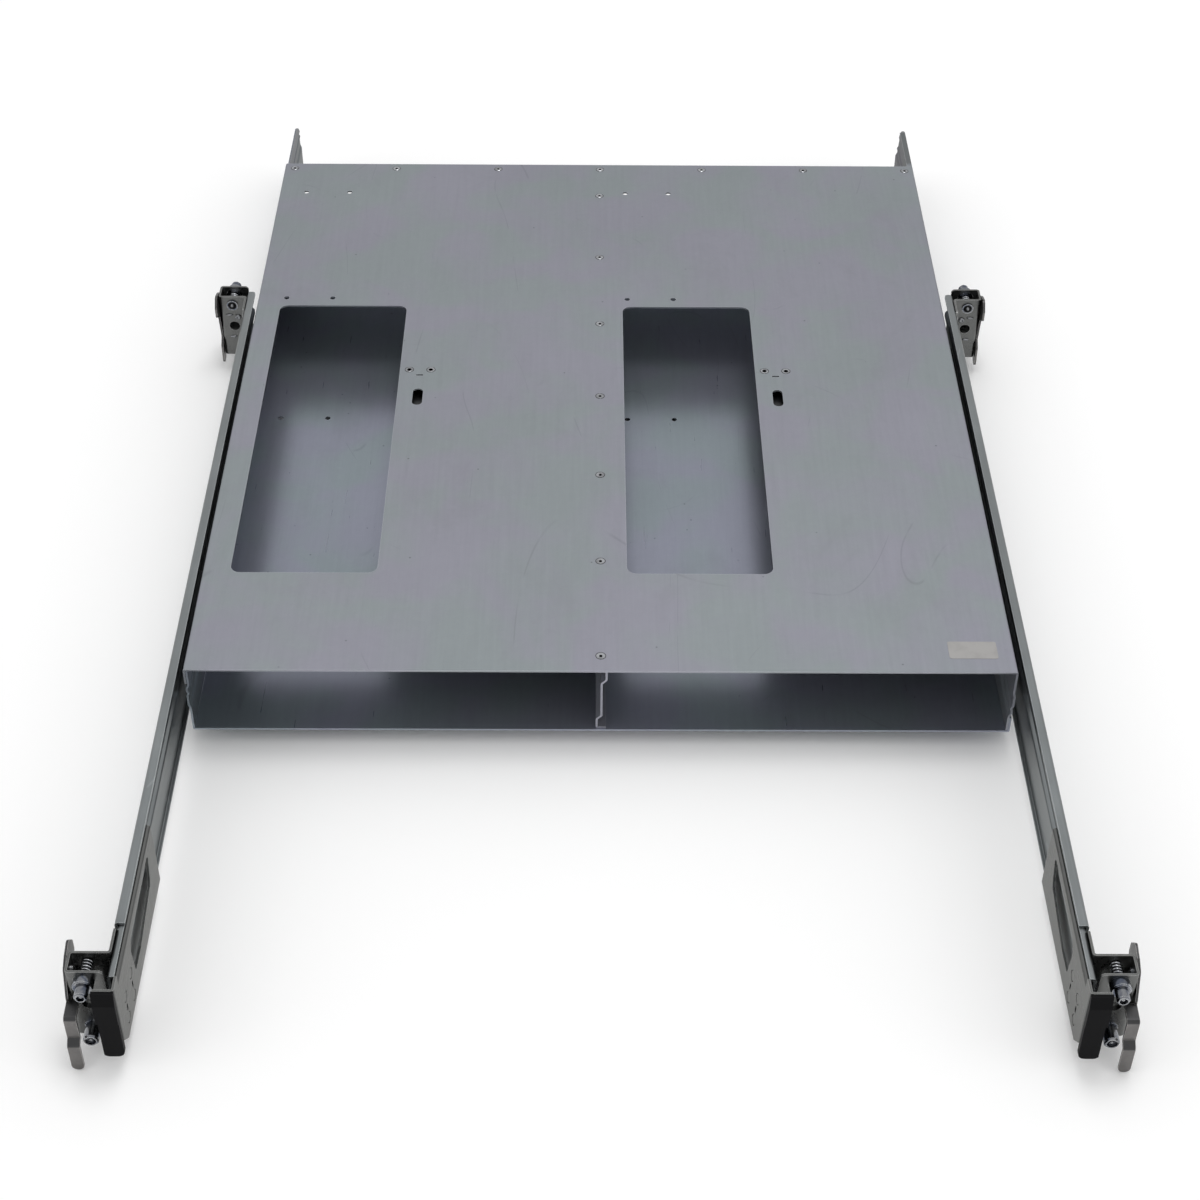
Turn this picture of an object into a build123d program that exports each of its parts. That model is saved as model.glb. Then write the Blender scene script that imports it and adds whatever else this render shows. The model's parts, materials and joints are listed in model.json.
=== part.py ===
from build123d import *
import os

# Pair of telescoping rack rails that carry a dual-bay sheet-metal tray.
# Working frame: X across the rack, Y along the rails from the near posts to the
# far posts, Z up; Y = 0 is the tray's near edge at rest and Z = 0 its underside.
# The right side is modelled at +X and mirrored. Lengths are in millimetres.

# Rack standard
STUD_SPACING = 465.12
STUD_PITCH = 31.75
STUD_MID_Z = 21.0

# Tray
TRAY_ROOM = 17.56
TRAY_H = 43.0
TRAY_L = 507.5
TRAY_SHEET = 1.0
TRAY_BEND = 0.9
LAP_GAP = 0.2
BULGE = 0.5
WALL_STEP = 0.7
FLANGE_DROP = 10.0
EAR_REACH = 70.5
EAR_RADIUS = 30.0
BAY_PITCH = 214.5

# Cover windows and latch slots
WINDOW_W = 79.4
WINDOW_L = 257.2
WINDOW_R = 5.5
WINDOW_Y = 77.0
WALL_TO_WINDOW = 14.4
SLOT_W = 6.1
SLOT_L = 16.3
SLIT_W = 4.2
SLIT_L = 1.2
SLIT_Y = 260.0
SLOT_Y = 237.9
WINDOW_TO_LATCH = 91.6

# Guide dimples of the bays, as distances from the left window's edge
DIMPLE_R = 1.7
DIMPLE_X = (3.0, 32.0)
COVER_DIMPLE_Y = (342.6, 470.2)
FLOOR_DIMPLE_Y = 272.6

# Rivets of the tray
RIVET_SHANK_R = 1.1
RIVET_HEAD_R = 2.6
RIVET_HEAD_H = 0.35
RIVET_TAIL_R = 1.8
RIVET_TAIL_H = 0.6
CENTRE_RIVET_X = -0.4
CENTRE_RIVET_Y = 11.6
CENTRE_RIVET_PITCH = 75.9
REAR_RIVETS = 7
REAR_RIVET_EDGE = 6.5
REAR_RIVET_INSET = 6.0

# Centre divider
DIVIDER_SHEET = 1.0
DIVIDER_FLANGE = 4.8
DIVIDER_JOG = 2.5
DIVIDER_JOG_DROP = 6.0
DIVIDER_INSET = 1.0

# Rear stiffener below the cover's far edge
STIFFENER_DEPTH = 14.0
STIFFENER_DROP = 7.0
STIFFENER_SHEET = 1.2

# Bay latches
LATCH_PLATE_W = 22.0
LATCH_PLATE_L = 13.0
LATCH_SHEET = 0.8
LATCH_LUG_DROP = 6.2
LATCH_PIVOT_DROP = 4.4
LATCH_BOSS_R = 1.9
LATCH_PIN_R = 0.8
LATCH_PIN_FIT = 0.05
LATCH_SIDE_GAP = 0.4
LATCH_REACH = 36.0
LATCH_HOOK = 4.6
LATCH_RIVET_SPREAD = 13.0
LATCH_RIVET_Y = 265.5

# Rails
NEAR_PLANE = -197.6
FAR_PLANE = 355.9
RAIL_H = 43.6
RAIL_SHEET = 1.2
RAIL_SIDE_GAP = 0.4
RAIL_TOP_W = 4.9
RAIL_FOOT_W = 3.5
RAIL_BEND = 1.1
BODY_NEAR_Y = -168.8
BODY_FAR_Y = 349.6
NEST_GAP = 0.3
RIDGE_DEPTH = 2.0
RIDGE_RISE = 6.5
RIDGE_FLAT = 3.0
RIDGE_SLOPE = 1.5
BODY_CORNER_R = 4.0

# Telescoping near extensions
EXT_TOP_W = 3.1
EXT_FOOT_W = 3.0
EXT_REAR_Y = 91.4
EXT_NEAR_INSET = 1.0

# Glide blocks that carry the tray in the rail bodies
GLIDE_L = 22.0
GLIDE_Y = (179.0, 298.0)
GLIDE_TOE_GAP = 0.6
GLIDE_RISE = 1.0
GLIDE_PLUG_R = 1.5
GLIDE_PLUG_Z = 12.0

# Tray slide members
MEMBER_SHEET = 1.0
MEMBER_W = 4.4
MEMBER_NEAR_Y = 95.4
MEMBER_FAR_INSET = 13.0
MEMBER_CLEAR = 0.3
MEMBER_RISE = 1.9
MEMBER_RIVETS = 4
MEMBER_RIVET_INSET = 15.0
MEMBER_HEAD_R = 2.4
MEMBER_HEAD_H = 0.8

# Stud carriers
CARRIER_SHEET = 1.2
CARRIER_SIDE = 8.24
CARRIER_FACE_GAP = 0.3
CARRIER_DEPTH = 12.4
CARRIER_TAB_L = 14.5
CARRIER_BEND = 1.3
CARRIER_CORNER_R = 2.2
CARRIER_FOOT_R = 3.4
SHELF_NOTCH_W = 7.0
SHELF_NOTCH_H = 4.4
MIDDLE_HOLE_R = 3.3
MIDDLE_COLLAR_H = 1.6
MIDDLE_COLLAR_T = 0.9

# Studs and sprung collars
UPPER_REACH = 10.2
LOWER_REACH = 9.2
UPPER_STUD_R = 3.1
UPPER_GUIDE_R = 2.6
UPPER_SHANK_R = 1.7
UPPER_TAIL_R = 3.5
LOWER_STUD_R = 3.7
LOWER_BASE_R = 4.2
LOWER_TAIL_R = 4.9
STUD_TAIL_H = 1.0
SOCKET_WALL = 1.2
SOCKET_DEPTH = 2.2
SOCKET_PIN_R = 1.0
COLLAR_R = 4.8
COLLAR_REACH = 4.5
COLLAR_TRAVEL = 4.3
COLLAR_REAR = 2.2
COLLAR_FLOOR = 1.2
RUN_FIT = 0.08
SHOULDER_GAP = 0.3
SPRING_R = 2.6
SPRING_WIRE_R = 0.4
SPRING_TURNS = 4.5
SPRING_SIDES = 12
SPRING_SEAT = 0.25

# Latch levers
LEVER_SHEET = 1.2
LEVER_GAP = 0.2
LEVER_W = 5.8
LEVER_SHELF_Z = 23.5
LEVER_FLAP_Y = -10.2
LEVER_STEP_Z = 9.4
LEVER_STEP = 3.0
LEVER_STEP_DROP = 2.4
LEVER_TIP_Z = -9.6
LEVER_BEND = 1.4
PIVOT_Y = 8.0
PIVOT_Z = 35.0
PIN_R = 1.5
PIN_FIT = 0.05
PIN_HEAD_R = 2.6
PIN_HEAD_H = 0.8

# Near bracket plates and bumpers
PLATE_TRAY_GAP = 1.4
PLATE_REAR = 94.0
PLATE_FRONT = -10.3
PLATE_TOP_Z = 38.0
PLATE_LIP_W = 2.2
PLATE_NOSE_L = 8.5
PLATE_NOSE_W = 9.4
PLATE_CHAMFER = 9.0
PLATE_WINDOW_FRONT = 25.5
PLATE_WINDOW_REAR = 13.0
PLATE_WINDOW_LOW = 10.0
PLATE_WINDOW_DROP = 5.5
PLATE_SLOTS = ((18.5, 11.8), (4.5, 12.8))
PLATE_SLOT_W = 1.8
PLATE_SLOT_H = 4.4
HEAD_RECESS_R = 2.9
HEAD_RECESS = 0.5
BUMPER_T = 3.0
BUMPER_TOP_T = 1.6
BUMPER_W = 10.3
BUMPER_CREASE_Z = 35.0
BUMPER_STEP_Z = 22.4
BUMPER_STEP = 0.8
BUMPER_CORNER_R = 3.4
BRACKET_RIVETS = ((19.0, 19.0), (18.0, 4.6), (5.0, 19.6), (4.0, 6.0))
BRACKET_RIVET_R = 1.5
BRACKET_HEAD_R = 2.4
BRACKET_HEAD_H = 0.4
BRACKET_SPACER_R = 3.0
TAB_RIVETS_Z = (12.0, 35.6)

# Values that follow from the ones above
STUD_X = STUD_SPACING / 2
UPPER_Z = STUD_MID_Z + STUD_PITCH / 2
LOWER_Z = STUD_MID_Z - STUD_PITCH / 2
RAIL_BOTTOM = STUD_MID_Z - RAIL_H / 2
RAIL_TOP = STUD_MID_Z + RAIL_H / 2
EXT_BOTTOM = RAIL_BOTTOM + RAIL_SHEET + NEST_GAP
EXT_TOP = RAIL_TOP - RAIL_SHEET - NEST_GAP
EAR_END = TRAY_L + EAR_REACH
LEVER_FRONT = LEVER_FLAP_Y - LEVER_STEP - LEVER_SHEET / 2
HALF_W = STUD_X - TRAY_ROOM
TRAY_SIDE = HALF_W + BULGE
MEMBER_RIVET_Z = TRAY_H / 2
MEMBER_TOP_Z = MEMBER_RIVET_Z + MEMBER_RISE
GLIDE_TOP_Z = MEMBER_RIVET_Z + GLIDE_RISE
RIDGE_Z = MEMBER_RIVET_Z + RIDGE_RISE
LEFT_WINDOW_X = -HALF_W + WALL_TO_WINDOW
BAY_LATCH_X = LEFT_WINDOW_X + WINDOW_TO_LATCH
EXT_OUTER = TRAY_SIDE + MEMBER_W + RAIL_SIDE_GAP + RAIL_SHEET
RAIL_OUTER = EXT_OUTER + NEST_GAP + RAIL_SHEET
CARRIER_OUTER = STUD_X + CARRIER_SIDE
CARRIER_INNER = RAIL_OUTER + CARRIER_FACE_GAP
PLATE_INNER = TRAY_SIDE + PLATE_TRAY_GAP
MEMBER_FAR_Y = TRAY_L - MEMBER_FAR_INSET
MEMBER_RIVET_PITCH = (MEMBER_FAR_Y - MEMBER_NEAR_Y - 2 * MEMBER_RIVET_INSET) / (MEMBER_RIVETS - 1)
MEMBER_RIVET_Y = [MEMBER_NEAR_Y + MEMBER_RIVET_INSET + row * MEMBER_RIVET_PITCH
                  for row in range(MEMBER_RIVETS)]
SHIFT = Pos(0, -(EAR_END + NEAR_PLANE + LEVER_FRONT) / 2, -LEVER_TIP_Z)


# Sketch and solid helpers
def outline(points, radii):
    """Closed face through the points, each corner rounded by its own radius."""
    return make_face(FilletPolyline(*points, radius=radii, close=True))


def sheet_section(points, thickness, bend):
    """Section of bent sheet whose middle line runs through the points."""
    path = [Vector(*point) for point in points]
    runs = [(b - a).normalized() for a, b in zip(path, path[1:])]
    normals = [Vector(-run.Y, run.X) for run in runs]
    sides = []
    for sign in (1, -1):
        half = sign * thickness / 2
        side = [(path[0] + normals[0] * half, 0)]
        for index in range(1, len(path) - 1):
            mitre = normals[index - 1] + normals[index]
            corner = path[index] + mitre * (2 * half / mitre.dot(mitre))
            left_turn = runs[index - 1].cross(runs[index]).Z > 0
            side.append((corner, bend - half if left_turn else bend + half))
        side.append((path[-1] + normals[-1] * half, 0))
        sides.append(side)
    loop = sides[0] + sides[1][::-1]
    return outline([point for point, _ in loop], [radius for _, radius in loop])


def along_x(face, x0, x1):
    """Solid of a (Y, Z) face from x0 to x1."""
    return extrude(Plane.YZ.offset(x0) * face, x1 - x0)


def along_y(face, y0, y1):
    """Solid of an (X, Z) face from y0 to y1."""
    return extrude(Plane.XZ.offset(-y1) * face, y1 - y0)


def along_z(face, z0, z1):
    """Solid of an (X, Y) face from z0 to z1."""
    return extrude(Plane.XY.offset(z0) * face, z1 - z0)


def disc(u, v, radius):
    return Pos(u, v) * Circle(radius)


def block(u0, u1, v0, v1, radius=0.0):
    """Rectangle between two corners, with all four rounded by radius."""
    centre = Pos((u0 + u1) / 2, (v0 + v1) / 2)
    if radius:
        return centre * RectangleRounded(u1 - u0, v1 - v0, radius)
    return centre * Rectangle(u1 - u0, v1 - v0)


def turned(profile, base, direction):
    """Solid of revolution of (radius, height) points about an axis from base."""
    face = make_face(Polyline(*[(r, 0, h) for r, h in profile], close=True))
    solid = revolve(face, Axis.Z, 360)
    return Plane(origin=base, z_dir=direction) * solid


# Tray sheets
def tray_wall(side_x):
    """Middle line of a full-height tray wall from its floor corner upwards."""
    foot = side_x - WALL_STEP
    groove = side_x - 0.8
    inside_lap = side_x - 0.1 - TRAY_SHEET - LAP_GAP
    middle = TRAY_H / 2
    return [
        (foot, TRAY_SHEET / 2),
        (foot, middle - 6.2),
        (side_x, middle - 3.7),
        (side_x, middle + 2.7),
        (groove, middle + 4.5),
        (side_x - 0.2, middle + 6.3),
        (side_x - 0.2, middle + 7.9),
        (inside_lap, middle + 10.5),
        (inside_lap, TRAY_H - TRAY_SHEET - 0.4),
    ]


def tray_half():
    """Right-walled sheet of the tray: floor, full wall and lapping flange."""
    wall_x = TRAY_SIDE - TRAY_SHEET / 2
    flange_x = -(wall_x - 0.1)
    lap = [(flange_x, FLANGE_DROP), (flange_x, TRAY_SHEET / 2)]
    section = sheet_section(lap + tray_wall(wall_x), TRAY_SHEET, TRAY_BEND / 2 + 0.15)
    sheet = along_y(section, 0, EAR_END)
    past_edge = block(-HALF_W - 5, HALF_W - 4, -1, TRAY_H + 1)
    sheet -= along_y(past_edge, TRAY_L, EAR_END + 1)
    return sheet


def ear_trim():
    """(Y, Z) face outside the rounded top far corner of an ear."""
    y, z = EAR_END - EAR_RADIUS, TRAY_H - EAR_RADIUS
    return block(y, EAR_END + 1, z, TRAY_H + 1) - disc(y, z, EAR_RADIUS)


def bay_offsets():
    return (0.0, BAY_PITCH)


def dimple_places():
    places = []
    for bay in bay_offsets():
        for offset in DIMPLE_X:
            places.append(LEFT_WINDOW_X + bay + offset)
    return places


def tray_base():
    """Floor sheet, with the left wall and ear and the right lapping flange."""
    sheet = mirror(tray_half(), about=Plane.YZ)
    sheet -= along_x(ear_trim(), -HALF_W - 2, -HALF_W + 6)
    for x in dimple_places():
        sheet -= along_z(disc(x, FLOOR_DIMPLE_Y, DIMPLE_R), -1, TRAY_SHEET + 1)
    for y in MEMBER_RIVET_Y:
        sheet -= along_x(disc(y, MEMBER_RIVET_Z, BRACKET_RIVET_R), -HALF_W - 2, -HALF_W + 4)
    return sheet


def tray_cover():
    """Top sheet, with the right wall and ear and the left lapping flange."""
    sheet = Pos(0, 0, TRAY_H) * Rot(0, 180, 0) * mirror(tray_half(), about=Plane.YZ)
    sheet -= along_x(ear_trim(), HALF_W - 6, HALF_W + 2)
    low, high = TRAY_H - TRAY_SHEET - 1, TRAY_H + 1
    for bay in bay_offsets():
        x0 = LEFT_WINDOW_X + bay
        window = block(x0, x0 + WINDOW_W, WINDOW_Y, WINDOW_Y + WINDOW_L, WINDOW_R)
        sheet -= along_z(window, low, high)
        slot = Pos(BAY_LATCH_X + bay, SLOT_Y) * Rot(0, 0, 90) * SlotOverall(SLOT_L, SLOT_W)
        sheet -= along_z(slot, low, high)
        slit = Pos(BAY_LATCH_X + bay, SLIT_Y) * Rectangle(SLIT_W, SLIT_L)
        sheet -= along_z(slit, low, high)
    for x in dimple_places():
        for y in COVER_DIMPLE_Y:
            sheet -= along_z(disc(x, y, DIMPLE_R), low, high)
    for x, y in top_rivet_places():
        sheet -= along_z(disc(x, y, RIVET_SHANK_R), low, high)
    for y in MEMBER_RIVET_Y:
        sheet -= along_x(disc(y, MEMBER_RIVET_Z, BRACKET_RIVET_R), HALF_W - 4, HALF_W + 2)
    return sheet


def centre_rivet_places():
    room = TRAY_L - STIFFENER_DEPTH - DIVIDER_INSET - RIVET_TAIL_R - CENTRE_RIVET_Y
    rows = range(int(room / CENTRE_RIVET_PITCH) + 1)
    return [(CENTRE_RIVET_X, CENTRE_RIVET_Y + row * CENTRE_RIVET_PITCH) for row in rows]


def rear_rivet_places():
    reach = HALF_W - REAR_RIVET_EDGE
    step = 2 * reach / (REAR_RIVETS - 1)
    return [(-reach + index * step, TRAY_L - REAR_RIVET_INSET) for index in range(REAR_RIVETS)]


def latch_rivet_places(bay):
    middle = BAY_LATCH_X + bay
    half = LATCH_RIVET_SPREAD / 2
    return [(middle - half, LATCH_RIVET_Y), (middle + half, LATCH_RIVET_Y)]


def top_rivet_places():
    places = centre_rivet_places() + rear_rivet_places()
    for bay in bay_offsets():
        places += latch_rivet_places(bay)
    return places


def top_rivets(places, grip):
    """Domed rivets through the cover and a sheet of thickness grip below it."""
    tail_top = TRAY_H - TRAY_SHEET - grip
    tail_bottom = tail_top - RIVET_TAIL_H
    profile = [
        (0, tail_bottom),
        (RIVET_TAIL_R, tail_bottom),
        (RIVET_TAIL_R, tail_top),
        (RIVET_SHANK_R, tail_top),
        (RIVET_SHANK_R, TRAY_H),
        (RIVET_HEAD_R, TRAY_H),
        (RIVET_HEAD_R * 0.8, TRAY_H + RIVET_HEAD_H),
        (0, TRAY_H + RIVET_HEAD_H),
    ]
    return [turned(profile, (x, y, 0), (0, 0, 1)) for x, y in places]


def center_divider():
    """Joggled wall between the bays, flanged under the cover and on the floor."""
    half = DIVIDER_SHEET / 2
    top = TRAY_H - TRAY_SHEET - half
    bottom = TRAY_SHEET + half
    shoulder = CENTRE_RIVET_X - RIVET_TAIL_R + DIVIDER_FLANGE
    web = shoulder - DIVIDER_JOG
    upper = [
        (shoulder - DIVIDER_FLANGE, top),
        (shoulder, top),
        (shoulder, top - DIVIDER_JOG_DROP),
        (web, top - DIVIDER_JOG_DROP - DIVIDER_JOG),
    ]
    lower = [
        (web, bottom + DIVIDER_JOG_DROP + DIVIDER_JOG),
        (web - DIVIDER_JOG, bottom + DIVIDER_JOG_DROP),
        (web - DIVIDER_JOG, bottom),
        (web - DIVIDER_JOG + DIVIDER_FLANGE, bottom),
    ]
    section = sheet_section(upper + lower, DIVIDER_SHEET, half + 0.3)
    wall = along_y(section, DIVIDER_INSET, TRAY_L - STIFFENER_DEPTH - DIVIDER_INSET)
    for x, y in centre_rivet_places():
        wall -= along_z(disc(x, y, RIVET_SHANK_R), top - 1, top + 1)
    return wall


def rear_stiffener():
    """Angle under the cover's far edge that the rear rivets hold."""
    half = STIFFENER_SHEET / 2
    top = TRAY_H - TRAY_SHEET - half
    near, far = TRAY_L - STIFFENER_DEPTH + half, TRAY_L - 0.5
    section = sheet_section([(far, top), (near, top), (near, top - STIFFENER_DROP)],
                            STIFFENER_SHEET, half + 0.5)
    reach = HALF_W - 3.0
    angle = along_x(section, -reach, reach)
    for x, y in rear_rivet_places():
        angle -= along_z(disc(x, y, RIVET_SHANK_R), top - 2, top + 1)
    return angle


def latch_pivot_z():
    return TRAY_H - TRAY_SHEET - LATCH_PIVOT_DROP


def bay_latch_bracket(bay):
    """Channel riveted under the cover, whose lugs carry the latch pin."""
    half = LATCH_SHEET / 2
    top = TRAY_H - TRAY_SHEET - half
    side = LATCH_PLATE_W / 2 - half
    line = [(-side, top - LATCH_LUG_DROP), (-side, top), (side, top), (side, top - LATCH_LUG_DROP)]
    channel = along_y(sheet_section(line, LATCH_SHEET, half + 0.3),
                      LATCH_RIVET_Y - LATCH_PLATE_L / 2, LATCH_RIVET_Y + LATCH_PLATE_L / 2)
    channel = Pos(BAY_LATCH_X + bay, 0, 0) * channel
    for x, y in latch_rivet_places(bay):
        channel -= along_z(disc(x, y, RIVET_SHANK_R), top - 1, top + 1)
    middle = BAY_LATCH_X + bay
    channel -= along_x(disc(LATCH_RIVET_Y, latch_pivot_z(), LATCH_PIN_R),
                       middle - LATCH_PLATE_W, middle + LATCH_PLATE_W)
    return channel


def bay_latch(bay):
    """Sprung arm on the pin, with the hook that holds a module in its bay."""
    z = latch_pivot_z()
    line = [(LATCH_RIVET_Y, z), (LATCH_RIVET_Y - LATCH_REACH, z),
            (LATCH_RIVET_Y - LATCH_REACH, z - LATCH_HOOK)]
    arm = sheet_section(line, LATCH_SHEET, LATCH_SHEET / 2 + 0.4)
    arm += disc(LATCH_RIVET_Y, z, LATCH_BOSS_R)
    arm -= disc(LATCH_RIVET_Y, z, LATCH_PIN_R + LATCH_PIN_FIT)
    middle = BAY_LATCH_X + bay
    side = LATCH_PLATE_W / 2 - LATCH_SHEET - LATCH_SIDE_GAP
    return along_x(arm, middle - side, middle + side)


def bay_latch_pin(bay):
    middle = BAY_LATCH_X + bay
    side = LATCH_PLATE_W / 2 + 0.3
    return along_x(disc(LATCH_RIVET_Y, latch_pivot_z(), LATCH_PIN_R), middle - side, middle + side)


# Rail sections, right side, as (X, Z) middle lines
def channel_line(outer, bottom, top, foot_w, top_w):
    """C section open towards the tray, with a guide ridge pressed into its web."""
    half = RAIL_SHEET / 2
    web = outer - half
    ridge = web - RIDGE_DEPTH
    flank = (RIDGE_DEPTH**2 + RIDGE_SLOPE**2) ** 0.5
    flat = RIDGE_FLAT / 2 + (RAIL_OUTER - outer) * (flank - RIDGE_SLOPE) / RIDGE_DEPTH
    slope = flat + RIDGE_SLOPE
    return [
        (outer - foot_w, bottom + half),
        (web, bottom + half),
        (web, RIDGE_Z - slope),
        (ridge, RIDGE_Z - flat),
        (ridge, RIDGE_Z + flat),
        (web, RIDGE_Z + slope),
        (web, top - half),
        (outer - top_w, top - half),
    ]


def rail_body():
    """Outer rail, fixed to the far post."""
    line = channel_line(RAIL_OUTER, RAIL_BOTTOM, RAIL_TOP, RAIL_FOOT_W, RAIL_TOP_W)
    body = along_y(sheet_section(line, RAIL_SHEET, RAIL_BEND), BODY_NEAR_Y, BODY_FAR_Y)
    corner = block(RAIL_OUTER - RAIL_TOP_W - 1, RAIL_OUTER - RAIL_TOP_W + 2,
                   BODY_FAR_Y - 2, BODY_FAR_Y + 1)
    round_off = disc(RAIL_OUTER - RAIL_TOP_W + 2, BODY_FAR_Y - 2, 2)
    body -= along_z(corner - round_off, RAIL_TOP - 2, RAIL_TOP + 1)
    for y in GLIDE_Y:
        body -= along_x(disc(y + GLIDE_L / 2, GLIDE_PLUG_Z, GLIDE_PLUG_R),
                        RAIL_OUTER - 3, RAIL_OUTER + 1)
    for z in TAB_RIVETS_Z:
        body -= along_x(disc(FAR_PLANE - tab_rivet_depth(), z, BRACKET_RIVET_R),
                        RAIL_OUTER - 5, RAIL_OUTER + 1)
    return body


def rail_glides():
    """Moulded blocks in the rail body, plugged into its web, that carry the member."""
    toe = TRAY_SIDE + GLIDE_TOE_GAP
    side = TRAY_SIDE + MEMBER_W + MEMBER_CLEAR
    web = RAIL_OUTER - RAIL_SHEET
    foot = RAIL_BOTTOM + RAIL_SHEET
    seat = EXT_BOTTOM + RAIL_SHEET
    section = make_face(Polyline((toe, foot), (web - RAIL_BEND, foot), (web, foot + RAIL_BEND),
                                 (web, GLIDE_TOP_Z), (side, GLIDE_TOP_Z), (side, seat),
                                 (toe, seat), close=True))
    glides = []
    for y in GLIDE_Y:
        block_solid = along_y(section, y, y + GLIDE_L)
        plug = disc(y + GLIDE_L / 2, GLIDE_PLUG_Z, GLIDE_PLUG_R)
        glides.append(block_solid + along_x(plug, side + 0.5, RAIL_OUTER))
    return glides


def rail_extension():
    """Inner rail that telescopes out of the body to reach the near post."""
    line = channel_line(EXT_OUTER, EXT_BOTTOM, EXT_TOP, EXT_FOOT_W, EXT_TOP_W)
    near = NEAR_PLANE - EXT_NEAR_INSET
    ext = along_y(sheet_section(line, RAIL_SHEET, RAIL_BEND), near, EXT_REAR_Y)
    notch = block(EXT_OUTER - EXT_TOP_W - 2, EXT_OUTER - RAIL_SHEET,
                  near - 1, NEAR_PLANE + PLATE_REAR)
    ext -= along_z(notch, EXT_BOTTOM - 1, EXT_BOTTOM + RAIL_SHEET + RAIL_BEND)
    for depth, z in BRACKET_RIVETS:
        ext -= along_x(disc(NEAR_PLANE + depth, z, BRACKET_RIVET_R), EXT_OUTER - 3, EXT_OUTER + 1)
    for z in TAB_RIVETS_Z:
        ext -= along_x(disc(NEAR_PLANE + tab_rivet_depth(), z, BRACKET_RIVET_R),
                       EXT_OUTER - 3, EXT_OUTER + 1)
    return ext


def slide_member():
    """C section on the tray's side that runs between the ridge and the rail's foot."""
    half = MEMBER_SHEET / 2
    inner = TRAY_SIDE + half
    bottom = EXT_BOTTOM + RAIL_SHEET + MEMBER_CLEAR + half
    top = MEMBER_TOP_Z - half
    tip = inner + MEMBER_W - half
    line = [(tip, bottom), (inner, bottom), (inner, top), (tip, top)]
    member = along_y(sheet_section(line, MEMBER_SHEET, half + 0.4), MEMBER_NEAR_Y, MEMBER_FAR_Y)
    for y in MEMBER_RIVET_Y:
        member -= along_x(disc(y, MEMBER_RIVET_Z, BRACKET_RIVET_R), inner - 1, inner + half)
    return member


def member_rivets():
    """Rivets through the tray's wall, flush with the slide member's web."""
    wall = TRAY_SIDE - TRAY_SHEET
    outside = TRAY_SIDE + MEMBER_SHEET
    length = outside - wall
    profile = [
        (0, -MEMBER_HEAD_H),
        (MEMBER_HEAD_R, -MEMBER_HEAD_H),
        (MEMBER_HEAD_R, 0),
        (BRACKET_RIVET_R, 0),
        (BRACKET_RIVET_R, length),
        (0, length),
    ]
    return [turned(profile, (wall, y, MEMBER_RIVET_Z), (1, 0, 0)) for y in MEMBER_RIVET_Y]


# Stud carrier group, with Y = 0 at the face that meets the rack post and +Y inwards
def tab_rivet_depth():
    return CARRIER_DEPTH + CARRIER_TAB_L * 0.6


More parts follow.
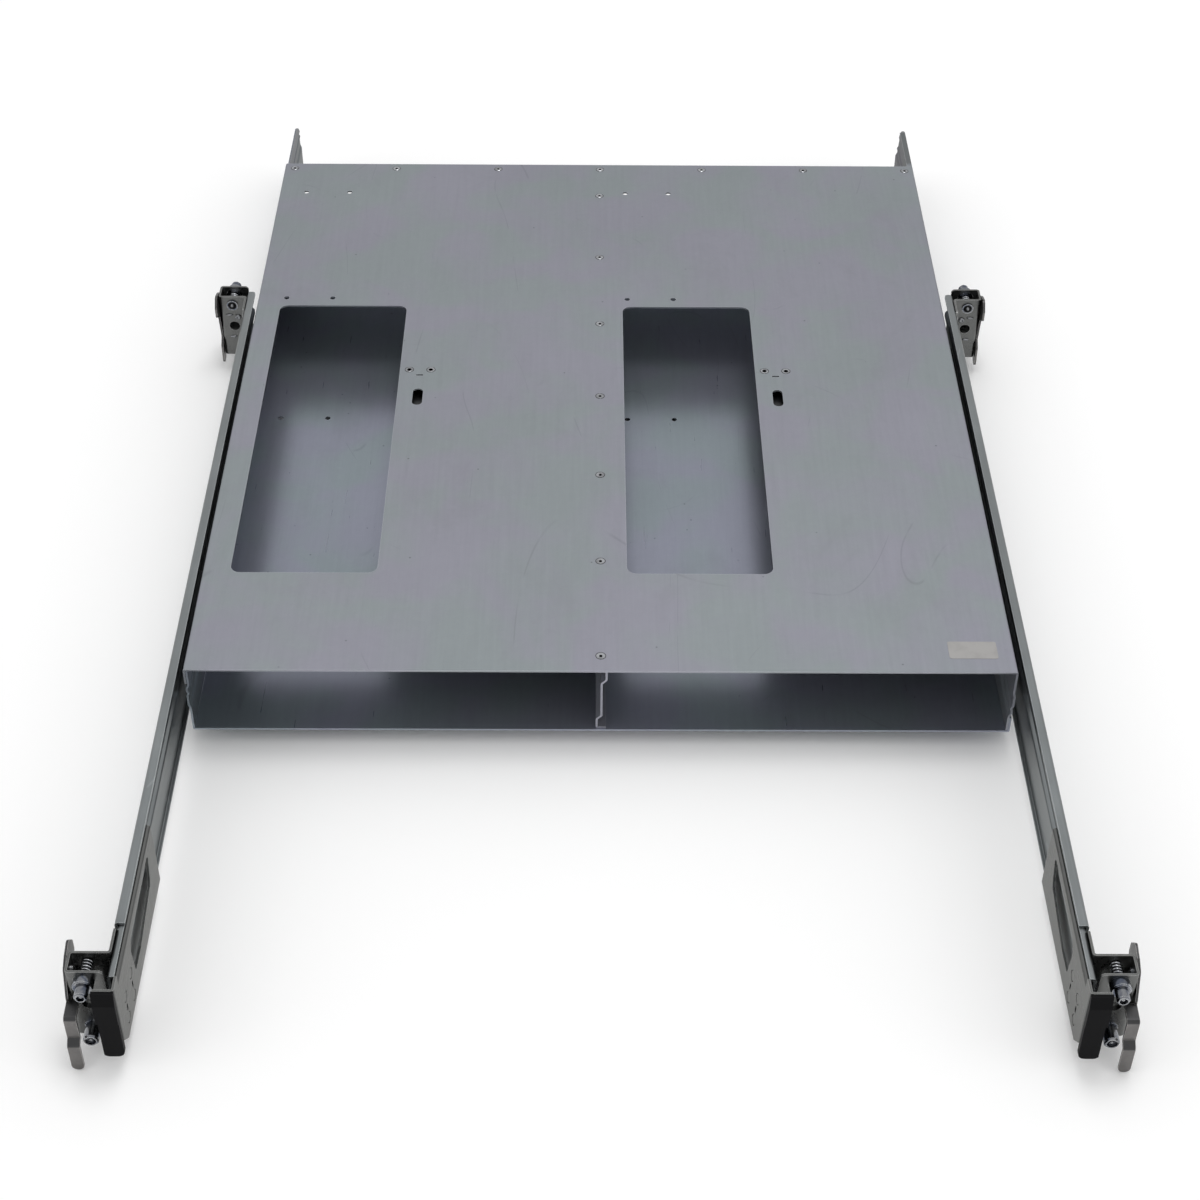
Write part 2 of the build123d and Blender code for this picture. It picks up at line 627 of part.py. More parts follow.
def stud_carrier(web_x):
    """Bent bracket that holds the studs, its tab flat on the rail's web at web_x."""
    half = CARRIER_SHEET / 2
    outer = CARRIER_OUTER - half
    back = CARRIER_DEPTH - half
    tab = web_x + half
    line = [
        (CARRIER_INNER, half),
        (outer, half),
        (outer, back),
        (tab, back),
        (tab, CARRIER_DEPTH + CARRIER_TAB_L),
    ]
    carrier = along_z(sheet_section(line, CARRIER_SHEET, CARRIER_BEND), RAIL_BOTTOM, RAIL_TOP)
    foot = block(CARRIER_INNER - 1, CARRIER_INNER + CARRIER_FOOT_R,
                 RAIL_BOTTOM - 1, RAIL_BOTTOM + CARRIER_FOOT_R)
    foot_round = disc(CARRIER_INNER + CARRIER_FOOT_R, RAIL_BOTTOM + CARRIER_FOOT_R, CARRIER_FOOT_R)
    carrier -= along_y(foot - foot_round, -1, CARRIER_SHEET + 1)
    notch = block(CARRIER_OUTER - SHELF_NOTCH_W, CARRIER_OUTER + 1,
                  LEVER_SHELF_Z - SHELF_NOTCH_H / 2, LEVER_SHELF_Z + SHELF_NOTCH_H / 2, 0.8)
    carrier -= along_y(notch, -1, CARRIER_SHEET + 0.8)
    inner_top = block(CARRIER_INNER - 1, CARRIER_INNER + CARRIER_CORNER_R,
                      RAIL_TOP - CARRIER_CORNER_R, RAIL_TOP + 1)
    inner_round = disc(CARRIER_INNER + CARRIER_CORNER_R, RAIL_TOP - CARRIER_CORNER_R,
                       CARRIER_CORNER_R)
    carrier -= along_y(inner_top - inner_round, -1, CARRIER_SHEET + 1)
    tab_corner = (block(CARRIER_DEPTH + CARRIER_TAB_L - CARRIER_CORNER_R, CARRIER_DEPTH + CARRIER_TAB_L + 1,
                        RAIL_TOP - CARRIER_CORNER_R, RAIL_TOP + 1)
                  - disc(CARRIER_DEPTH + CARRIER_TAB_L - CARRIER_CORNER_R, RAIL_TOP - CARRIER_CORNER_R,
                         CARRIER_CORNER_R))
    carrier -= along_x(tab_corner, web_x - 1, web_x + CARRIER_SHEET + 0.5)
    carrier -= along_y(disc(STUD_X, UPPER_Z, COLLAR_R + RUN_FIT), -1, CARRIER_SHEET + 1)
    carrier -= along_y(disc(STUD_X, UPPER_Z, UPPER_SHANK_R), CARRIER_DEPTH - 3, CARRIER_DEPTH + 1)
    carrier -= along_y(disc(STUD_X, LOWER_Z, LOWER_BASE_R), -1, CARRIER_SHEET + 1)
    carrier += along_y(disc(STUD_X, STUD_MID_Z, MIDDLE_HOLE_R + MIDDLE_COLLAR_T),
                       0.2, CARRIER_SHEET + MIDDLE_COLLAR_H)
    carrier -= along_y(disc(STUD_X, STUD_MID_Z, MIDDLE_HOLE_R), -1, CARRIER_DEPTH + 1)
    carrier -= along_x(disc(PIVOT_Y, PIVOT_Z, PIN_R), CARRIER_OUTER - 3, CARRIER_OUTER + 1)
    for z in TAB_RIVETS_Z:
        carrier -= along_x(disc(tab_rivet_depth(), z, BRACKET_RIVET_R), web_x - 1, web_x + 3)
    if web_x == EXT_OUTER:
        for depth, z in BRACKET_RIVETS:
            carrier -= along_x(disc(depth, z, BRACKET_RIVET_R), web_x - 1, web_x + CARRIER_SHEET)
    return carrier


def stud_nose(radius, root_y, tip):
    """Profile of a stud's front: a snout with a recessed end round a small pin."""
    socket = radius - SOCKET_WALL
    return [
        (radius, root_y),
        (radius, tip - 0.8),
        (radius - 0.7, tip),
        (socket, tip),
        (socket, tip - SOCKET_DEPTH),
        (SOCKET_PIN_R, tip - SOCKET_DEPTH),
        (SOCKET_PIN_R * 0.6, tip - SOCKET_DEPTH * 0.4),
        (0, tip - SOCKET_DEPTH * 0.4),
    ]


def upper_stud():
    """Stud riveted in the back wall; the sprung collar slides on it."""
    tail = -CARRIER_DEPTH
    shoulder = -COLLAR_REAR + COLLAR_FLOOR + SHOULDER_GAP
    step = COLLAR_REACH + 0.1
    nose = stud_nose(UPPER_STUD_R, step, UPPER_REACH)
    profile = [
        (0, tail - STUD_TAIL_H),
        (UPPER_TAIL_R, tail - STUD_TAIL_H),
        (UPPER_TAIL_R, tail),
        (UPPER_SHANK_R, tail),
        (UPPER_SHANK_R, shoulder),
        (UPPER_GUIDE_R, shoulder),
        (UPPER_GUIDE_R, step),
    ] + nose
    return turned(profile, (STUD_X, 0, UPPER_Z), (0, -1, 0))


def lower_stud():
    """Stud pressed in the front wall by its wider base."""
    back = -CARRIER_SHEET
    profile = [
        (0, back - STUD_TAIL_H),
        (LOWER_TAIL_R, back - STUD_TAIL_H),
        (LOWER_TAIL_R, back),
        (LOWER_BASE_R, back),
        (LOWER_BASE_R, 0),
    ] + stud_nose(LOWER_STUD_R, 0, LOWER_REACH)
    return turned(profile, (STUD_X, 0, LOWER_Z), (0, -1, 0))


def stud_collar():
    """Cup that fills a square post hole and springs back for a round one."""
    bore = UPPER_GUIDE_R + RUN_FIT
    eye = UPPER_SHANK_R + RUN_FIT
    profile = [
        (eye, -COLLAR_REAR),
        (COLLAR_R, -COLLAR_REAR),
        (COLLAR_R, COLLAR_REACH - 0.6),
        (COLLAR_R - 0.6, COLLAR_REACH),
        (bore, COLLAR_REACH),
        (bore, -COLLAR_REAR + COLLAR_FLOOR),
        (eye, -COLLAR_REAR + COLLAR_FLOOR),
    ]
    return turned(profile, (STUD_X, 0, UPPER_Z), (0, -1, 0))


def stud_spring():
    """Compression spring between the collar and the back wall."""
    start = COLLAR_REAR + SPRING_SEAT + SPRING_WIRE_R
    end = CARRIER_DEPTH - CARRIER_SHEET - SPRING_WIRE_R - 0.05
    mean_r = SPRING_R - SPRING_WIRE_R
    steps = int(SPRING_TURNS * SPRING_SIDES)
    points = []
    for index in range(steps + 1):
        turn = Vector(mean_r, 0, 0).rotate(Axis.Z, 360 * index / SPRING_SIDES)
        points.append(turn + Vector(0, 0, (end - start) * index / steps))
    coil = Polyline(*points)
    wire = Plane(origin=coil @ 0, z_dir=coil % 0) * RegularPolygon(SPRING_WIRE_R, 6)
    solid = sweep(wire, path=coil, transition=Transition.RIGHT)
    return Plane(origin=(STUD_X, start, UPPER_Z), z_dir=(0, 1, 0)) * solid


def latch_lever():
    """Side plate on the pivot pin, with the stepped hook flap in front."""
    inner = CARRIER_OUTER + LEVER_GAP
    outer = inner + LEVER_SHEET
    half = LEVER_SHEET / 2
    plate_points = [
        (-1.5, LEVER_SHELF_Z - 4.0),
        (-1.5, LEVER_SHELF_Z + 2.5),
        (3.5, 40.5),
        (9.0, 43.5),
        (16.5, 45.5),
        (21.5, 40.0),
        (21.5, 33.0),
        (14.0, 29.0),
        (11.0, 12.0),
        (15.5, 8.0),
        (16.5, -5.5),
        (9.0, -5.5),
        (6.0, 8.0),
        (6.0, 20.0),
    ]
    plate_radii = [1.0, 3.0, 3.0, 2.0, 3.0, 3.0, 3.0, 3.0, 2.0, 3.0, 3.0, 3.0, 3.0, 3.0]
    plate = along_x(outline(plate_points, plate_radii), inner, outer)
    flap_line = [
        (-1.5 + 0.7, LEVER_SHELF_Z),
        (LEVER_FLAP_Y, LEVER_SHELF_Z - 0.8),
        (LEVER_FLAP_Y, LEVER_STEP_Z),
        (LEVER_FLAP_Y - LEVER_STEP, LEVER_STEP_Z - LEVER_STEP_DROP),
        (LEVER_FLAP_Y - LEVER_STEP, LEVER_TIP_Z),
    ]
    flap = along_x(sheet_section(flap_line, LEVER_SHEET, LEVER_BEND), outer - LEVER_W, outer)
    tip_r = LEVER_W / 2
    tip = block(outer - LEVER_W - 1, outer + 1, LEVER_TIP_Z - 1, LEVER_TIP_Z + tip_r)
    tip -= disc(outer - tip_r, LEVER_TIP_Z + tip_r, tip_r)
    flap -= along_y(tip, LEVER_FRONT - 1, LEVER_FLAP_Y)
    lever = plate + flap
    lever -= along_x(disc(PIVOT_Y, PIVOT_Z, PIN_R + PIN_FIT), inner - 1, outer + 1)
    return lever


def latch_pin():
    """Shouldered pin through the carrier's side and the lever."""
    start = CARRIER_OUTER - CARRIER_SHEET
    lever_out = CARRIER_OUTER + LEVER_GAP + LEVER_SHEET + LEVER_GAP
    length = lever_out - start
    profile = [
        (0, -PIN_HEAD_H),
        (PIN_HEAD_R, -PIN_HEAD_H),
        (PIN_HEAD_R, 0),
        (PIN_R, 0),
        (PIN_R, length),
        (PIN_HEAD_R, length),
        (PIN_HEAD_R, length + PIN_HEAD_H * 0.6),
        (PIN_HEAD_R * 0.6, length + PIN_HEAD_H),
        (0, length + PIN_HEAD_H),
    ]
    return turned(profile, (start, PIVOT_Y, PIVOT_Z), (1, 0, 0))


def tab_rivets(web_x):
    """Rivets that hold the carrier's tab on the rail's web."""
    grip = RAIL_SHEET + CARRIER_SHEET
    profile = [
        (0, -BRACKET_HEAD_H),
        (BRACKET_HEAD_R, -BRACKET_HEAD_H),
        (BRACKET_HEAD_R, 0),
        (BRACKET_RIVET_R, 0),
        (BRACKET_RIVET_R, grip),
        (BRACKET_HEAD_R, grip),
        (BRACKET_HEAD_R, grip + BRACKET_HEAD_H * 2),
        (0, grip + BRACKET_HEAD_H * 2),
    ]
    start = web_x - RAIL_SHEET
    return [turned(profile, (start, tab_rivet_depth(), z), (1, 0, 0)) for z in TAB_RIVETS_Z]


# Near bracket plate group, in the same carrier frame
def bracket_plate():
    """Inner plate beside the extension, windowed, with a nose across its front."""
    half = RAIL_SHEET / 2
    mid = PLATE_INNER + half
    nose = PLATE_FRONT + half
    split = PLATE_FRONT + PLATE_NOSE_L
    side_section = sheet_section(
        [(mid, RAIL_BOTTOM), (mid, PLATE_TOP_Z - half), (mid + PLATE_LIP_W, PLATE_TOP_Z - half)],
        RAIL_SHEET, RAIL_BEND)
    side = along_y(side_section, split, PLATE_REAR)
    nose_plan = sheet_section([(mid, split), (mid, nose), (mid + PLATE_NOSE_W, nose)],
                              RAIL_SHEET, RAIL_BEND)
    plate = side + along_z(nose_plan, RAIL_BOTTOM, RAIL_TOP - 0.4)
    front, rear = PLATE_WINDOW_FRONT, PLATE_REAR - PLATE_WINDOW_REAR
    low, high = PLATE_WINDOW_LOW, PLATE_TOP_Z - PLATE_WINDOW_DROP
    window = outline([(front + 17.0, low), (front + 2.0, low + 0.5), (front, high - 5.5),
                      (front + 5.0, high), (rear, high), (rear - 5.0, low + 6.0)],
                     [2.0, 2.0, 3.0, 3.0, 3.0, 4.0])
    plate -= along_x(window, PLATE_INNER - 1, mid + PLATE_LIP_W)
    chamfer = make_face(Polyline((PLATE_FRONT - 1, RAIL_BOTTOM - 1),
                                 (PLATE_FRONT + PLATE_CHAMFER, RAIL_BOTTOM - 1),
                                 (PLATE_FRONT - 1, RAIL_BOTTOM + PLATE_CHAMFER), close=True))
    plate -= along_x(chamfer, PLATE_INNER - 1, mid + half)
    for depth, z in PLATE_SLOTS:
        slot = Pos(depth, z) * Rot(0, 0, 90) * SlotOverall(PLATE_SLOT_H, PLATE_SLOT_W)
        plate -= along_x(slot, PLATE_INNER - 1, mid + half)
    for depth, z in BRACKET_RIVETS:
        plate -= along_x(disc(depth, z, BRACKET_RIVET_R), PLATE_INNER - 1, mid + 1)
        plate -= along_x(disc(depth, z, HEAD_RECESS_R), PLATE_INNER - 1, PLATE_INNER + HEAD_RECESS)
    return plate


def bracket_rivets():
    """Spaced rivets between the bracket plate and the extension's web."""
    inner_face = EXT_OUTER - RAIL_SHEET
    spacer_start = PLATE_INNER + RAIL_SHEET
    seat = PLATE_INNER + HEAD_RECESS
    rivets = []
    for depth, z in BRACKET_RIVETS:
        on_tab = depth > CARRIER_DEPTH + CARRIER_BEND
        end = EXT_OUTER + (CARRIER_SHEET if on_tab else 0)
        stations = [
            (0, seat - BRACKET_HEAD_H),
            (BRACKET_HEAD_R, seat - BRACKET_HEAD_H),
            (BRACKET_HEAD_R, seat),
            (BRACKET_RIVET_R, seat),
            (BRACKET_RIVET_R, spacer_start),
            (BRACKET_SPACER_R, spacer_start),
            (BRACKET_SPACER_R, inner_face),
            (BRACKET_RIVET_R, inner_face),
            (BRACKET_RIVET_R, end),
            (BRACKET_HEAD_R, end),
            (BRACKET_HEAD_R, end + BRACKET_HEAD_H),
            (0, end + BRACKET_HEAD_H),
        ]
        rivets.append(turned(stations, (0, depth, z), (1, 0, 0)))
    return rivets


def near_bumper():
    """Soft end cap on the nose of the bracket plate, its top sloped back from a crease."""
    bottom, top = RAIL_BOTTOM - 0.2, RAIL_TOP - 0.4
    front = PLATE_FRONT - BUMPER_T
    side = make_face(Polyline((PLATE_FRONT, bottom), (front, bottom), (front, BUMPER_CREASE_Z),
                              (PLATE_FRONT - BUMPER_TOP_T, top), (PLATE_FRONT, top), close=True))
    pad = along_x(side, PLATE_INNER, PLATE_INNER + BUMPER_W)
    face = block(PLATE_INNER, PLATE_INNER + BUMPER_W, bottom, top + BUMPER_CORNER_R + 1,
                 BUMPER_CORNER_R)
    pad &= along_y(face, front - 1, PLATE_FRONT + 1)
    step = block(PLATE_INNER + BUMPER_W - BUMPER_STEP, PLATE_INNER + BUMPER_W + 1,
                 bottom - 1, BUMPER_STEP_Z)
    pad -= along_y(step, front - 1, PLATE_FRONT + 1)
    shelf = block(front - 1, front + BUMPER_STEP / 2, bottom - 1, BUMPER_STEP_Z)
    return pad - along_x(shelf, PLATE_INNER - 1, PLATE_INNER + BUMPER_W + 1)


def stud_group(web_x):
    """Pieces of one end, in the carrier frame, by the last part of their node name."""
    return {
        "stud_carrier": stud_carrier(web_x),
        "upper_stud": upper_stud(),
        "lower_stud": lower_stud(),
        "stud_collar": stud_collar(),
        "stud_spring": stud_spring(),
        "latch_lever": latch_lever(),
        "latch_pin": latch_pin(),
        "carrier_rivets": tab_rivets(web_x),
    }


def right_side():
    """All nodes of the right rail, in the working frame, without their prefix."""
    nodes = {
        "rail_body": rail_body(),
        "rail_glides": rail_glides(),
        "rail_extension": rail_extension(),
        "slide_member": slide_member(),
        "slide_member_rivets": member_rivets(),
    }
    near_frame = Pos(0, NEAR_PLANE, 0)
    near = stud_group(EXT_OUTER)
    near["bracket_plate"] = bracket_plate()
    near["bracket_rivets"] = bracket_rivets()
    near["bumper"] = near_bumper()
    for name, shape in near.items():
        nodes["near_" + name] = placed(shape, near_frame)
    for name, shape in stud_group(RAIL_OUTER).items():
        flipped = [mirror(solid, about=Plane.XZ) for solid in solids_of(shape)]
        nodes["far_" + name] = placed(flipped, Pos(0, FAR_PLANE, 0))
    return nodes


def solids_of(shape):
    return shape if isinstance(shape, list) else [shape]


def placed(shape, location):
    return [location * solid for solid in solids_of(shape)]


def tray_nodes():
    """All nodes of the tray, in the working frame."""
    left_bay, right_bay = bay_offsets()
    latch_rivets = latch_rivet_places(left_bay) + latch_rivet_places(right_bay)
    return {
        "tray_base": tray_base(),
        "tray_cover": tray_cover(),
        "center_divider": center_divider(),
        "rear_stiffener": rear_stiffener(),
        "divider_rivets": top_rivets(centre_rivet_places(), DIVIDER_SHEET),
        "rear_rivets": top_rivets(rear_rivet_places(), STIFFENER_SHEET),
        "bay_latch_rivets": top_rivets(latch_rivets, LATCH_SHEET),
        "bay_latch_brackets": [bay_latch_bracket(bay) for bay in bay_offsets()],
        "bay_latch_pins": [bay_latch_pin(bay) for bay in bay_offsets()],
        "left_bay_latch": bay_latch(left_bay),
        "right_bay_latch": bay_latch(right_bay),
    }


def write_node(name, shape):
    solids = []
    for piece in solids_of(shape):
        solids += (SHIFT * piece).solids()
    export_step(Compound(children=solids) if len(solids) > 1 else solids[0],
                f"parts/{name}.step")


def main():
    os.makedirs("parts", exist_ok=True)
    for name, shape in tray_nodes().items():
        write_node(name, shape)
    for name, shape in right_side().items():
        write_node("right_" + name, shape)
        mirrored = [mirror(solid, about=Plane.YZ) for solid in solids_of(shape)]
        write_node("left_" + name, mirrored)


main()
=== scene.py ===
import json
import math

import bmesh
import bpy
from mathutils import Matrix, Vector


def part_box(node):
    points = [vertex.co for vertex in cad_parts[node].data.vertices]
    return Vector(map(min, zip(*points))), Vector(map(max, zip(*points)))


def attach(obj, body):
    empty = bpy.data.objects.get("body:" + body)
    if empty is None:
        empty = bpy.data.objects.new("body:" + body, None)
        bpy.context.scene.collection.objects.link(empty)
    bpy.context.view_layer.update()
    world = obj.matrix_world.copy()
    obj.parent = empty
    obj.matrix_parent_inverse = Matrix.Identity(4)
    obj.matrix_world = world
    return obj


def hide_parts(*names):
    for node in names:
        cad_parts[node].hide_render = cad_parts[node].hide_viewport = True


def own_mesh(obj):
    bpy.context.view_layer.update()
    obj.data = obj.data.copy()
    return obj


bl_info = {
    "name": "Rack Rails and Tray",
    "version": (1, 0, 0),
    "blender": (4, 5, 0),
    "location": "3D View > Sidebar > Rack Rails",
    "description": "Finishes, label and studio for a pair of rack rails with a sheet-metal tray",
    "category": "Object",
}

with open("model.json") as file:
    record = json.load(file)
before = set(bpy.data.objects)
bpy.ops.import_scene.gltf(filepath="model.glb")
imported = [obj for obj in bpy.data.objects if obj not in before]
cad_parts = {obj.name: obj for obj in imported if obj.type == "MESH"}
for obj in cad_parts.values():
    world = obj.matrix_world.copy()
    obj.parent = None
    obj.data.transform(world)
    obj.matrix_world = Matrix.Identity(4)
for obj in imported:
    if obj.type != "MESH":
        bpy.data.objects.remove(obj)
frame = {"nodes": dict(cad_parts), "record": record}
NODES = frame["nodes"]
COVER_LOW, COVER_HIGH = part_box("tray_cover")
MOUNTS = {mount["name"]: Vector(mount["pos_m"]) for mount in frame["record"]["mounts"]}

# Metres from a post face to its bracket's back wall
BRACKET_DEPTH = 0.0124

# The ears behind the tray, which get painted shade: their reach before the cover's far edge and
# the width over which that painted shade fades in
EAR_REACH = 0.0705
EAR_START = COVER_HIGH.y - EAR_REACH
EAR_SHADE_FADE = 0.006

# How strongly each mark shows on the galvanised sheets: smudges, scratches and flecks, the painted
# shade on the ears, and the edges' wear and painted highlight
SMUDGE = 0.22
SCRATCH = 0.25
FLECK = 0.6
EAR_PAINTED_SHADE = 0.6
SHEET_EDGE_WEAR_AND_SHEEN = 0.55

# How metallic the sheets and the rails are, their specular level and their low-angle reflection
SHEET_METAL = 0.72
RAIL_METAL = 0.95
PLATE_SPECULAR = 0.3
DULL_GLANCE = (0.36, 0.36, 0.35)
SATIN_GLANCE = (0.74, 0.74, 0.73)

# (along the axis, radius) of turned pieces: shares for the rivet, metres for a stud's tail
RIVET_PROFILE = (
    (0.3, 0.0), (0.3, 0.97), (-0.35, 1.0), (-0.72, 0.90),
    (-0.95, 0.70), (-1.0, 0.52), (-0.78, 0.34), (-0.66, 0.0),
)
# The tail's dark disc is painted shade of its hollow; its crown is the bright centre
TAIL_SHADE_DISC = ((0.0, 0.0), (0.0, 0.0027), (-0.00012, 0.0026), (-0.00012, 0.0))
TAIL_CROWN = (
    (0.0, 0.0), (0.0, 0.0012), (-0.0003, 0.0011), (-0.00048, 0.0006), (-0.00052, 0.0),
)

# Each pressed ridge: metres outwards and upwards from the screw hole, and its lean in radians
WALL_RIDGES = ((0.0025, 0.0084, 0.10), (0.0014, -0.0080, -0.22))
RIDGE_STEPS = 12
RIDGE_FULLNESS = 0.6

# Facets of the modelled pieces
CORNER_STEPS = 6
TURNED_FACETS = 20
COIL_STEPS = 24
WIRE_FACETS = 8
PIT_FACETS = 18
# Taper of the dark rivet discs, and how much larger the painted shade disc is in the dome rivets
PIT_TAPER = 0.86
DOME_SHADE_SCALE = 1.5

# Name, place, point that it lights, size in metres and power setting of each lamp
LAMPS = (
    ("key_lamp", (0.2, 0.3, 2.6), (0.0, 0.0, 0.0), 1.0, "key_power"),
    ("left_lamp", (-2.4, -0.9, 1.3), (0.0, -0.1, 0.0), 1.4, "side_power"),
    ("right_lamp", (2.4, -0.9, 1.3), (0.0, -0.1, 0.0), 1.4, "side_power"),
)

# Gap under the object in metres, and the camera's sensor in millimetres and reach in metres
FLOOR_DROP = 0.0005
SENSOR_WIDTH = 36.0
VIEW_REACH = 50.0


class Signal:
    """A socket of a shader graph; arithmetic on it adds Math nodes."""

    def __init__(self, graph, socket):
        self.graph = graph
        self.socket = socket

    def math(self, operation, *operands):
        inputs = dict(enumerate(operands))
        return self.graph.add("ShaderNodeMath", {"operation": operation}, inputs)

    def __add__(self, other):
        return self.math("ADD", self, other)

    def __sub__(self, other):
        return self.math("SUBTRACT", self, other)

    def __rsub__(self, other):
        return self.math("SUBTRACT", other, self)

    def __mul__(self, other):
        return self.math("MULTIPLY", self, other)

    def size(self):
        return self.math("ABSOLUTE", self)

    __radd__ = __add__
    __rmul__ = __mul__

    def band(self, low, high):
        """0 below low, 1 above high and a smooth ramp between."""
        limits = {0: self, 1: low, 2: high, 3: 0.0, 4: 1.0}
        return self.graph.add("ShaderNodeMapRange", {"interpolation_type": "SMOOTHSTEP"}, limits)


class Graph:
    """The node tree of one material, built from a single kind of call."""

    def __init__(self, name):
        self.material = bpy.data.materials.new(name)
        self.material.use_nodes = True
        self.tree = self.material.node_tree
        self.tree.nodes.clear()
        self.output = self.tree.nodes.new("ShaderNodeOutputMaterial")
        self.places = {}

    def add(self, kind, settings=None, inputs=None, output=0):
        """Adds a node: its settings first, then the values and links of its sockets."""
        node = self.tree.nodes.new(kind)
        for name, value in (settings or {}).items():
            setattr(node, name, value)
        for name, value in (inputs or {}).items():
            self.feed(node.inputs[name], value)
        return Signal(self, node.outputs[output])

    def feed(self, socket, value):
        if isinstance(value, Signal):
            self.tree.links.new(value.socket, socket)
        else:
            socket.default_value = value

    def place(self, stretch=(1.0, 1.0, 1.0), turn=0.0):
        """The row frame's coordinates in metres, turned about Z and stretched."""
        key = (stretch, turn)
        if key not in self.places:
            point = self.add("ShaderNodeTexCoord", output="Object")
            self.places[key] = self.add(
                "ShaderNodeMapping",
                inputs={"Vector": point, "Rotation": (0.0, 0.0, turn), "Scale": stretch},
            )
        return self.places[key]

    def across(self, axis):
        """The place along one axis of the row frame, in metres."""
        return self.add("ShaderNodeSeparateXYZ", inputs={"Vector": self.place()}, output=axis)

    def noise(
        self, scale, detail=3.0, stretch=(1.0, 1.0, 1.0), turn=0.0, distortion=0.0, rough=0.5
    ):
        return self.add(
            "ShaderNodeTexNoise",
            inputs={
                "Vector": self.place(stretch, turn),
                "Scale": scale,
                "Detail": detail,
                "Roughness": rough,
                "Distortion": distortion,
            },
        )

    def cells(self, scale, turn=0.0, output="Distance"):
        inputs = {"Vector": self.place(turn=turn), "Scale": scale}
        return self.add("ShaderNodeTexVoronoi", {"feature": "F1"}, inputs, output)

    def mix(self, share, first, second):
        """Colour between first and second by share."""
        return self.add(
            "ShaderNodeMix",
            {"data_type": "RGBA"},
            {0: share, 6: opaque(first), 7: opaque(second)},
            2,
        )

    def edge_wear_and_sheen(self, radius):
        """1 along sharp edges, fading to 0 within radius; the finishes paint edges paler with it
        as wear and painted highlight, and darker as painted shade where their factor is low.
        """
        rounded = self.add("ShaderNodeBevel", {"samples": 4}, {"Radius": radius})
        plain = self.add("ShaderNodeNewGeometry", output="Normal")
        along = self.add(
            "ShaderNodeVectorMath", {"operation": "DOT_PRODUCT"}, {0: rounded, 1: plain}, "Value"
        )
        return (1.0 - along).band(0.01, 0.12)

    def bump(self, height, strength, distance):
        inputs = {"Height": height, "Strength": strength, "Distance": distance}
        return self.add("ShaderNodeBump", inputs=inputs)

    def surface(self, specular=0.5, glance=(1.0, 1.0, 1.0), **sockets):
        """Ends the graph in a Principled surface; glance is its reflection at a low angle."""
        named = {name.replace("_", " ").title(): value for name, value in sockets.items()}
        named["Specular IOR Level"] = specular
        named["Specular Tint"] = opaque(glance)
        shader = self.add("ShaderNodeBsdfPrincipled", inputs=named)
        self.tree.links.new(shader.socket, self.output.inputs["Surface"])
        return self.material


def opaque(colour):
    """A signal as it is, and three numbers with full alpha."""
    return colour if isinstance(colour, Signal) else (*colour, 1.0)


def shade(colour, factor):
    """A colour darkened or lightened by a factor, as numbers."""
    return tuple(min(1.0, channel * factor) for channel in colour)


def tinged(colour, *shares):
    """A colour whose red, green and blue change by these shares, as numbers."""
    return tuple(channel * (1.0 + share) for channel, share in zip(colour, shares))


def scratches(graph, scale, width, turn, cover):
    """Sparse curved hairlines: thin contours of a stretched noise, kept in a few patches."""
    flow = graph.noise(scale, 0.0, (1.0, 0.35, 1.0), turn)
    line = 1.0 - (flow - 0.5).size().band(0.0, width)
    patches = graph.noise(scale * 1.7, 2.0, turn=turn + 0.4).band(cover, cover + 0.08)
    return line * patches


def galvanised_sheet(name, tint, gloss):
    """Dull galvanised sheet: rolling grain, green and violet drift, specks and fine scratches,
    with painted shade on the ears and edges painted paler as wear and painted highlight.
    """
    graph = Graph(name)
    cloud = graph.noise(9.0, 4.0)
    drift = graph.noise(19.0, 2.0, distortion=0.5).band(0.36, 0.64)
    grain = graph.noise(420.0, 3.0, (1.0, 0.045, 1.0), rough=0.65)
    speckle = graph.noise(1500.0, 2.0)
    spangle = graph.cells(300.0, output="Color")
    smudge = graph.noise(26.0, 5.0, (1.0, 0.6, 1.0), 0.5, 0.6, 0.6).band(0.55, 0.72)
    scuff = scratches(graph, 8.0, 0.0016, 0.35, 0.53) + scratches(graph, 12.0, 0.0024, -0.5, 0.53)
    scuff = scuff + scratches(graph, 17.0, 0.0034, 0.9, 0.55)
    speck = 1.0 - graph.cells(75.0, turn=0.3).band(0.026, 0.055)
    fleck = speck * graph.noise(24.0, 2.0).band(0.46, 0.52)
    # Painted shade: from the ears' start onwards the sheet is darkened and browned
    ear_shade = graph.across("Y").band(EAR_START, EAR_START + EAR_SHADE_FADE)
    edge = graph.edge_wear_and_sheen(0.0005)
    value = cloud * 0.16 + grain * 0.16 + speckle * 0.06 + spangle * 0.03 + 0.02
    green, violet = tinged(tint, -0.035, 0.02, -0.01), tinged(tint, 0.015, -0.025, 0.05)
    hue = graph.mix(drift, green, violet)
    pale = graph.mix(drift, shade(green, 1.22), shade(violet, 1.22))
    base = graph.mix(value * 1.9, graph.mix(0.22, hue, (0.0, 0.0, 0.0)), pale)
    base = graph.mix(smudge * SMUDGE, base, shade(tint, 0.80))
    base = graph.mix(scuff * SCRATCH, base, shade(tint, 0.5))
    base = graph.mix(fleck * FLECK, base, shade(tint, 0.3))
    base = graph.mix(ear_shade * EAR_PAINTED_SHADE, base, tinged(shade(tint, 0.30), 0.06, 0.0, -0.10))
    # Edges painted paler: wear and painted highlight
    base = graph.mix(edge * SHEET_EDGE_WEAR_AND_SHEEN, base, shade(tint, 2.1))
    rough = gloss + 0.10 * grain + 0.03 * smudge - 0.08 * edge
    relief = graph.bump(grain * 0.6 + speckle * 0.4, 0.10, 0.0003)
    sockets = {"base_color": base, "metallic": SHEET_METAL, "roughness": rough, "normal": relief}
    return graph.surface(PLATE_SPECULAR, DULL_GLANCE, **sockets)


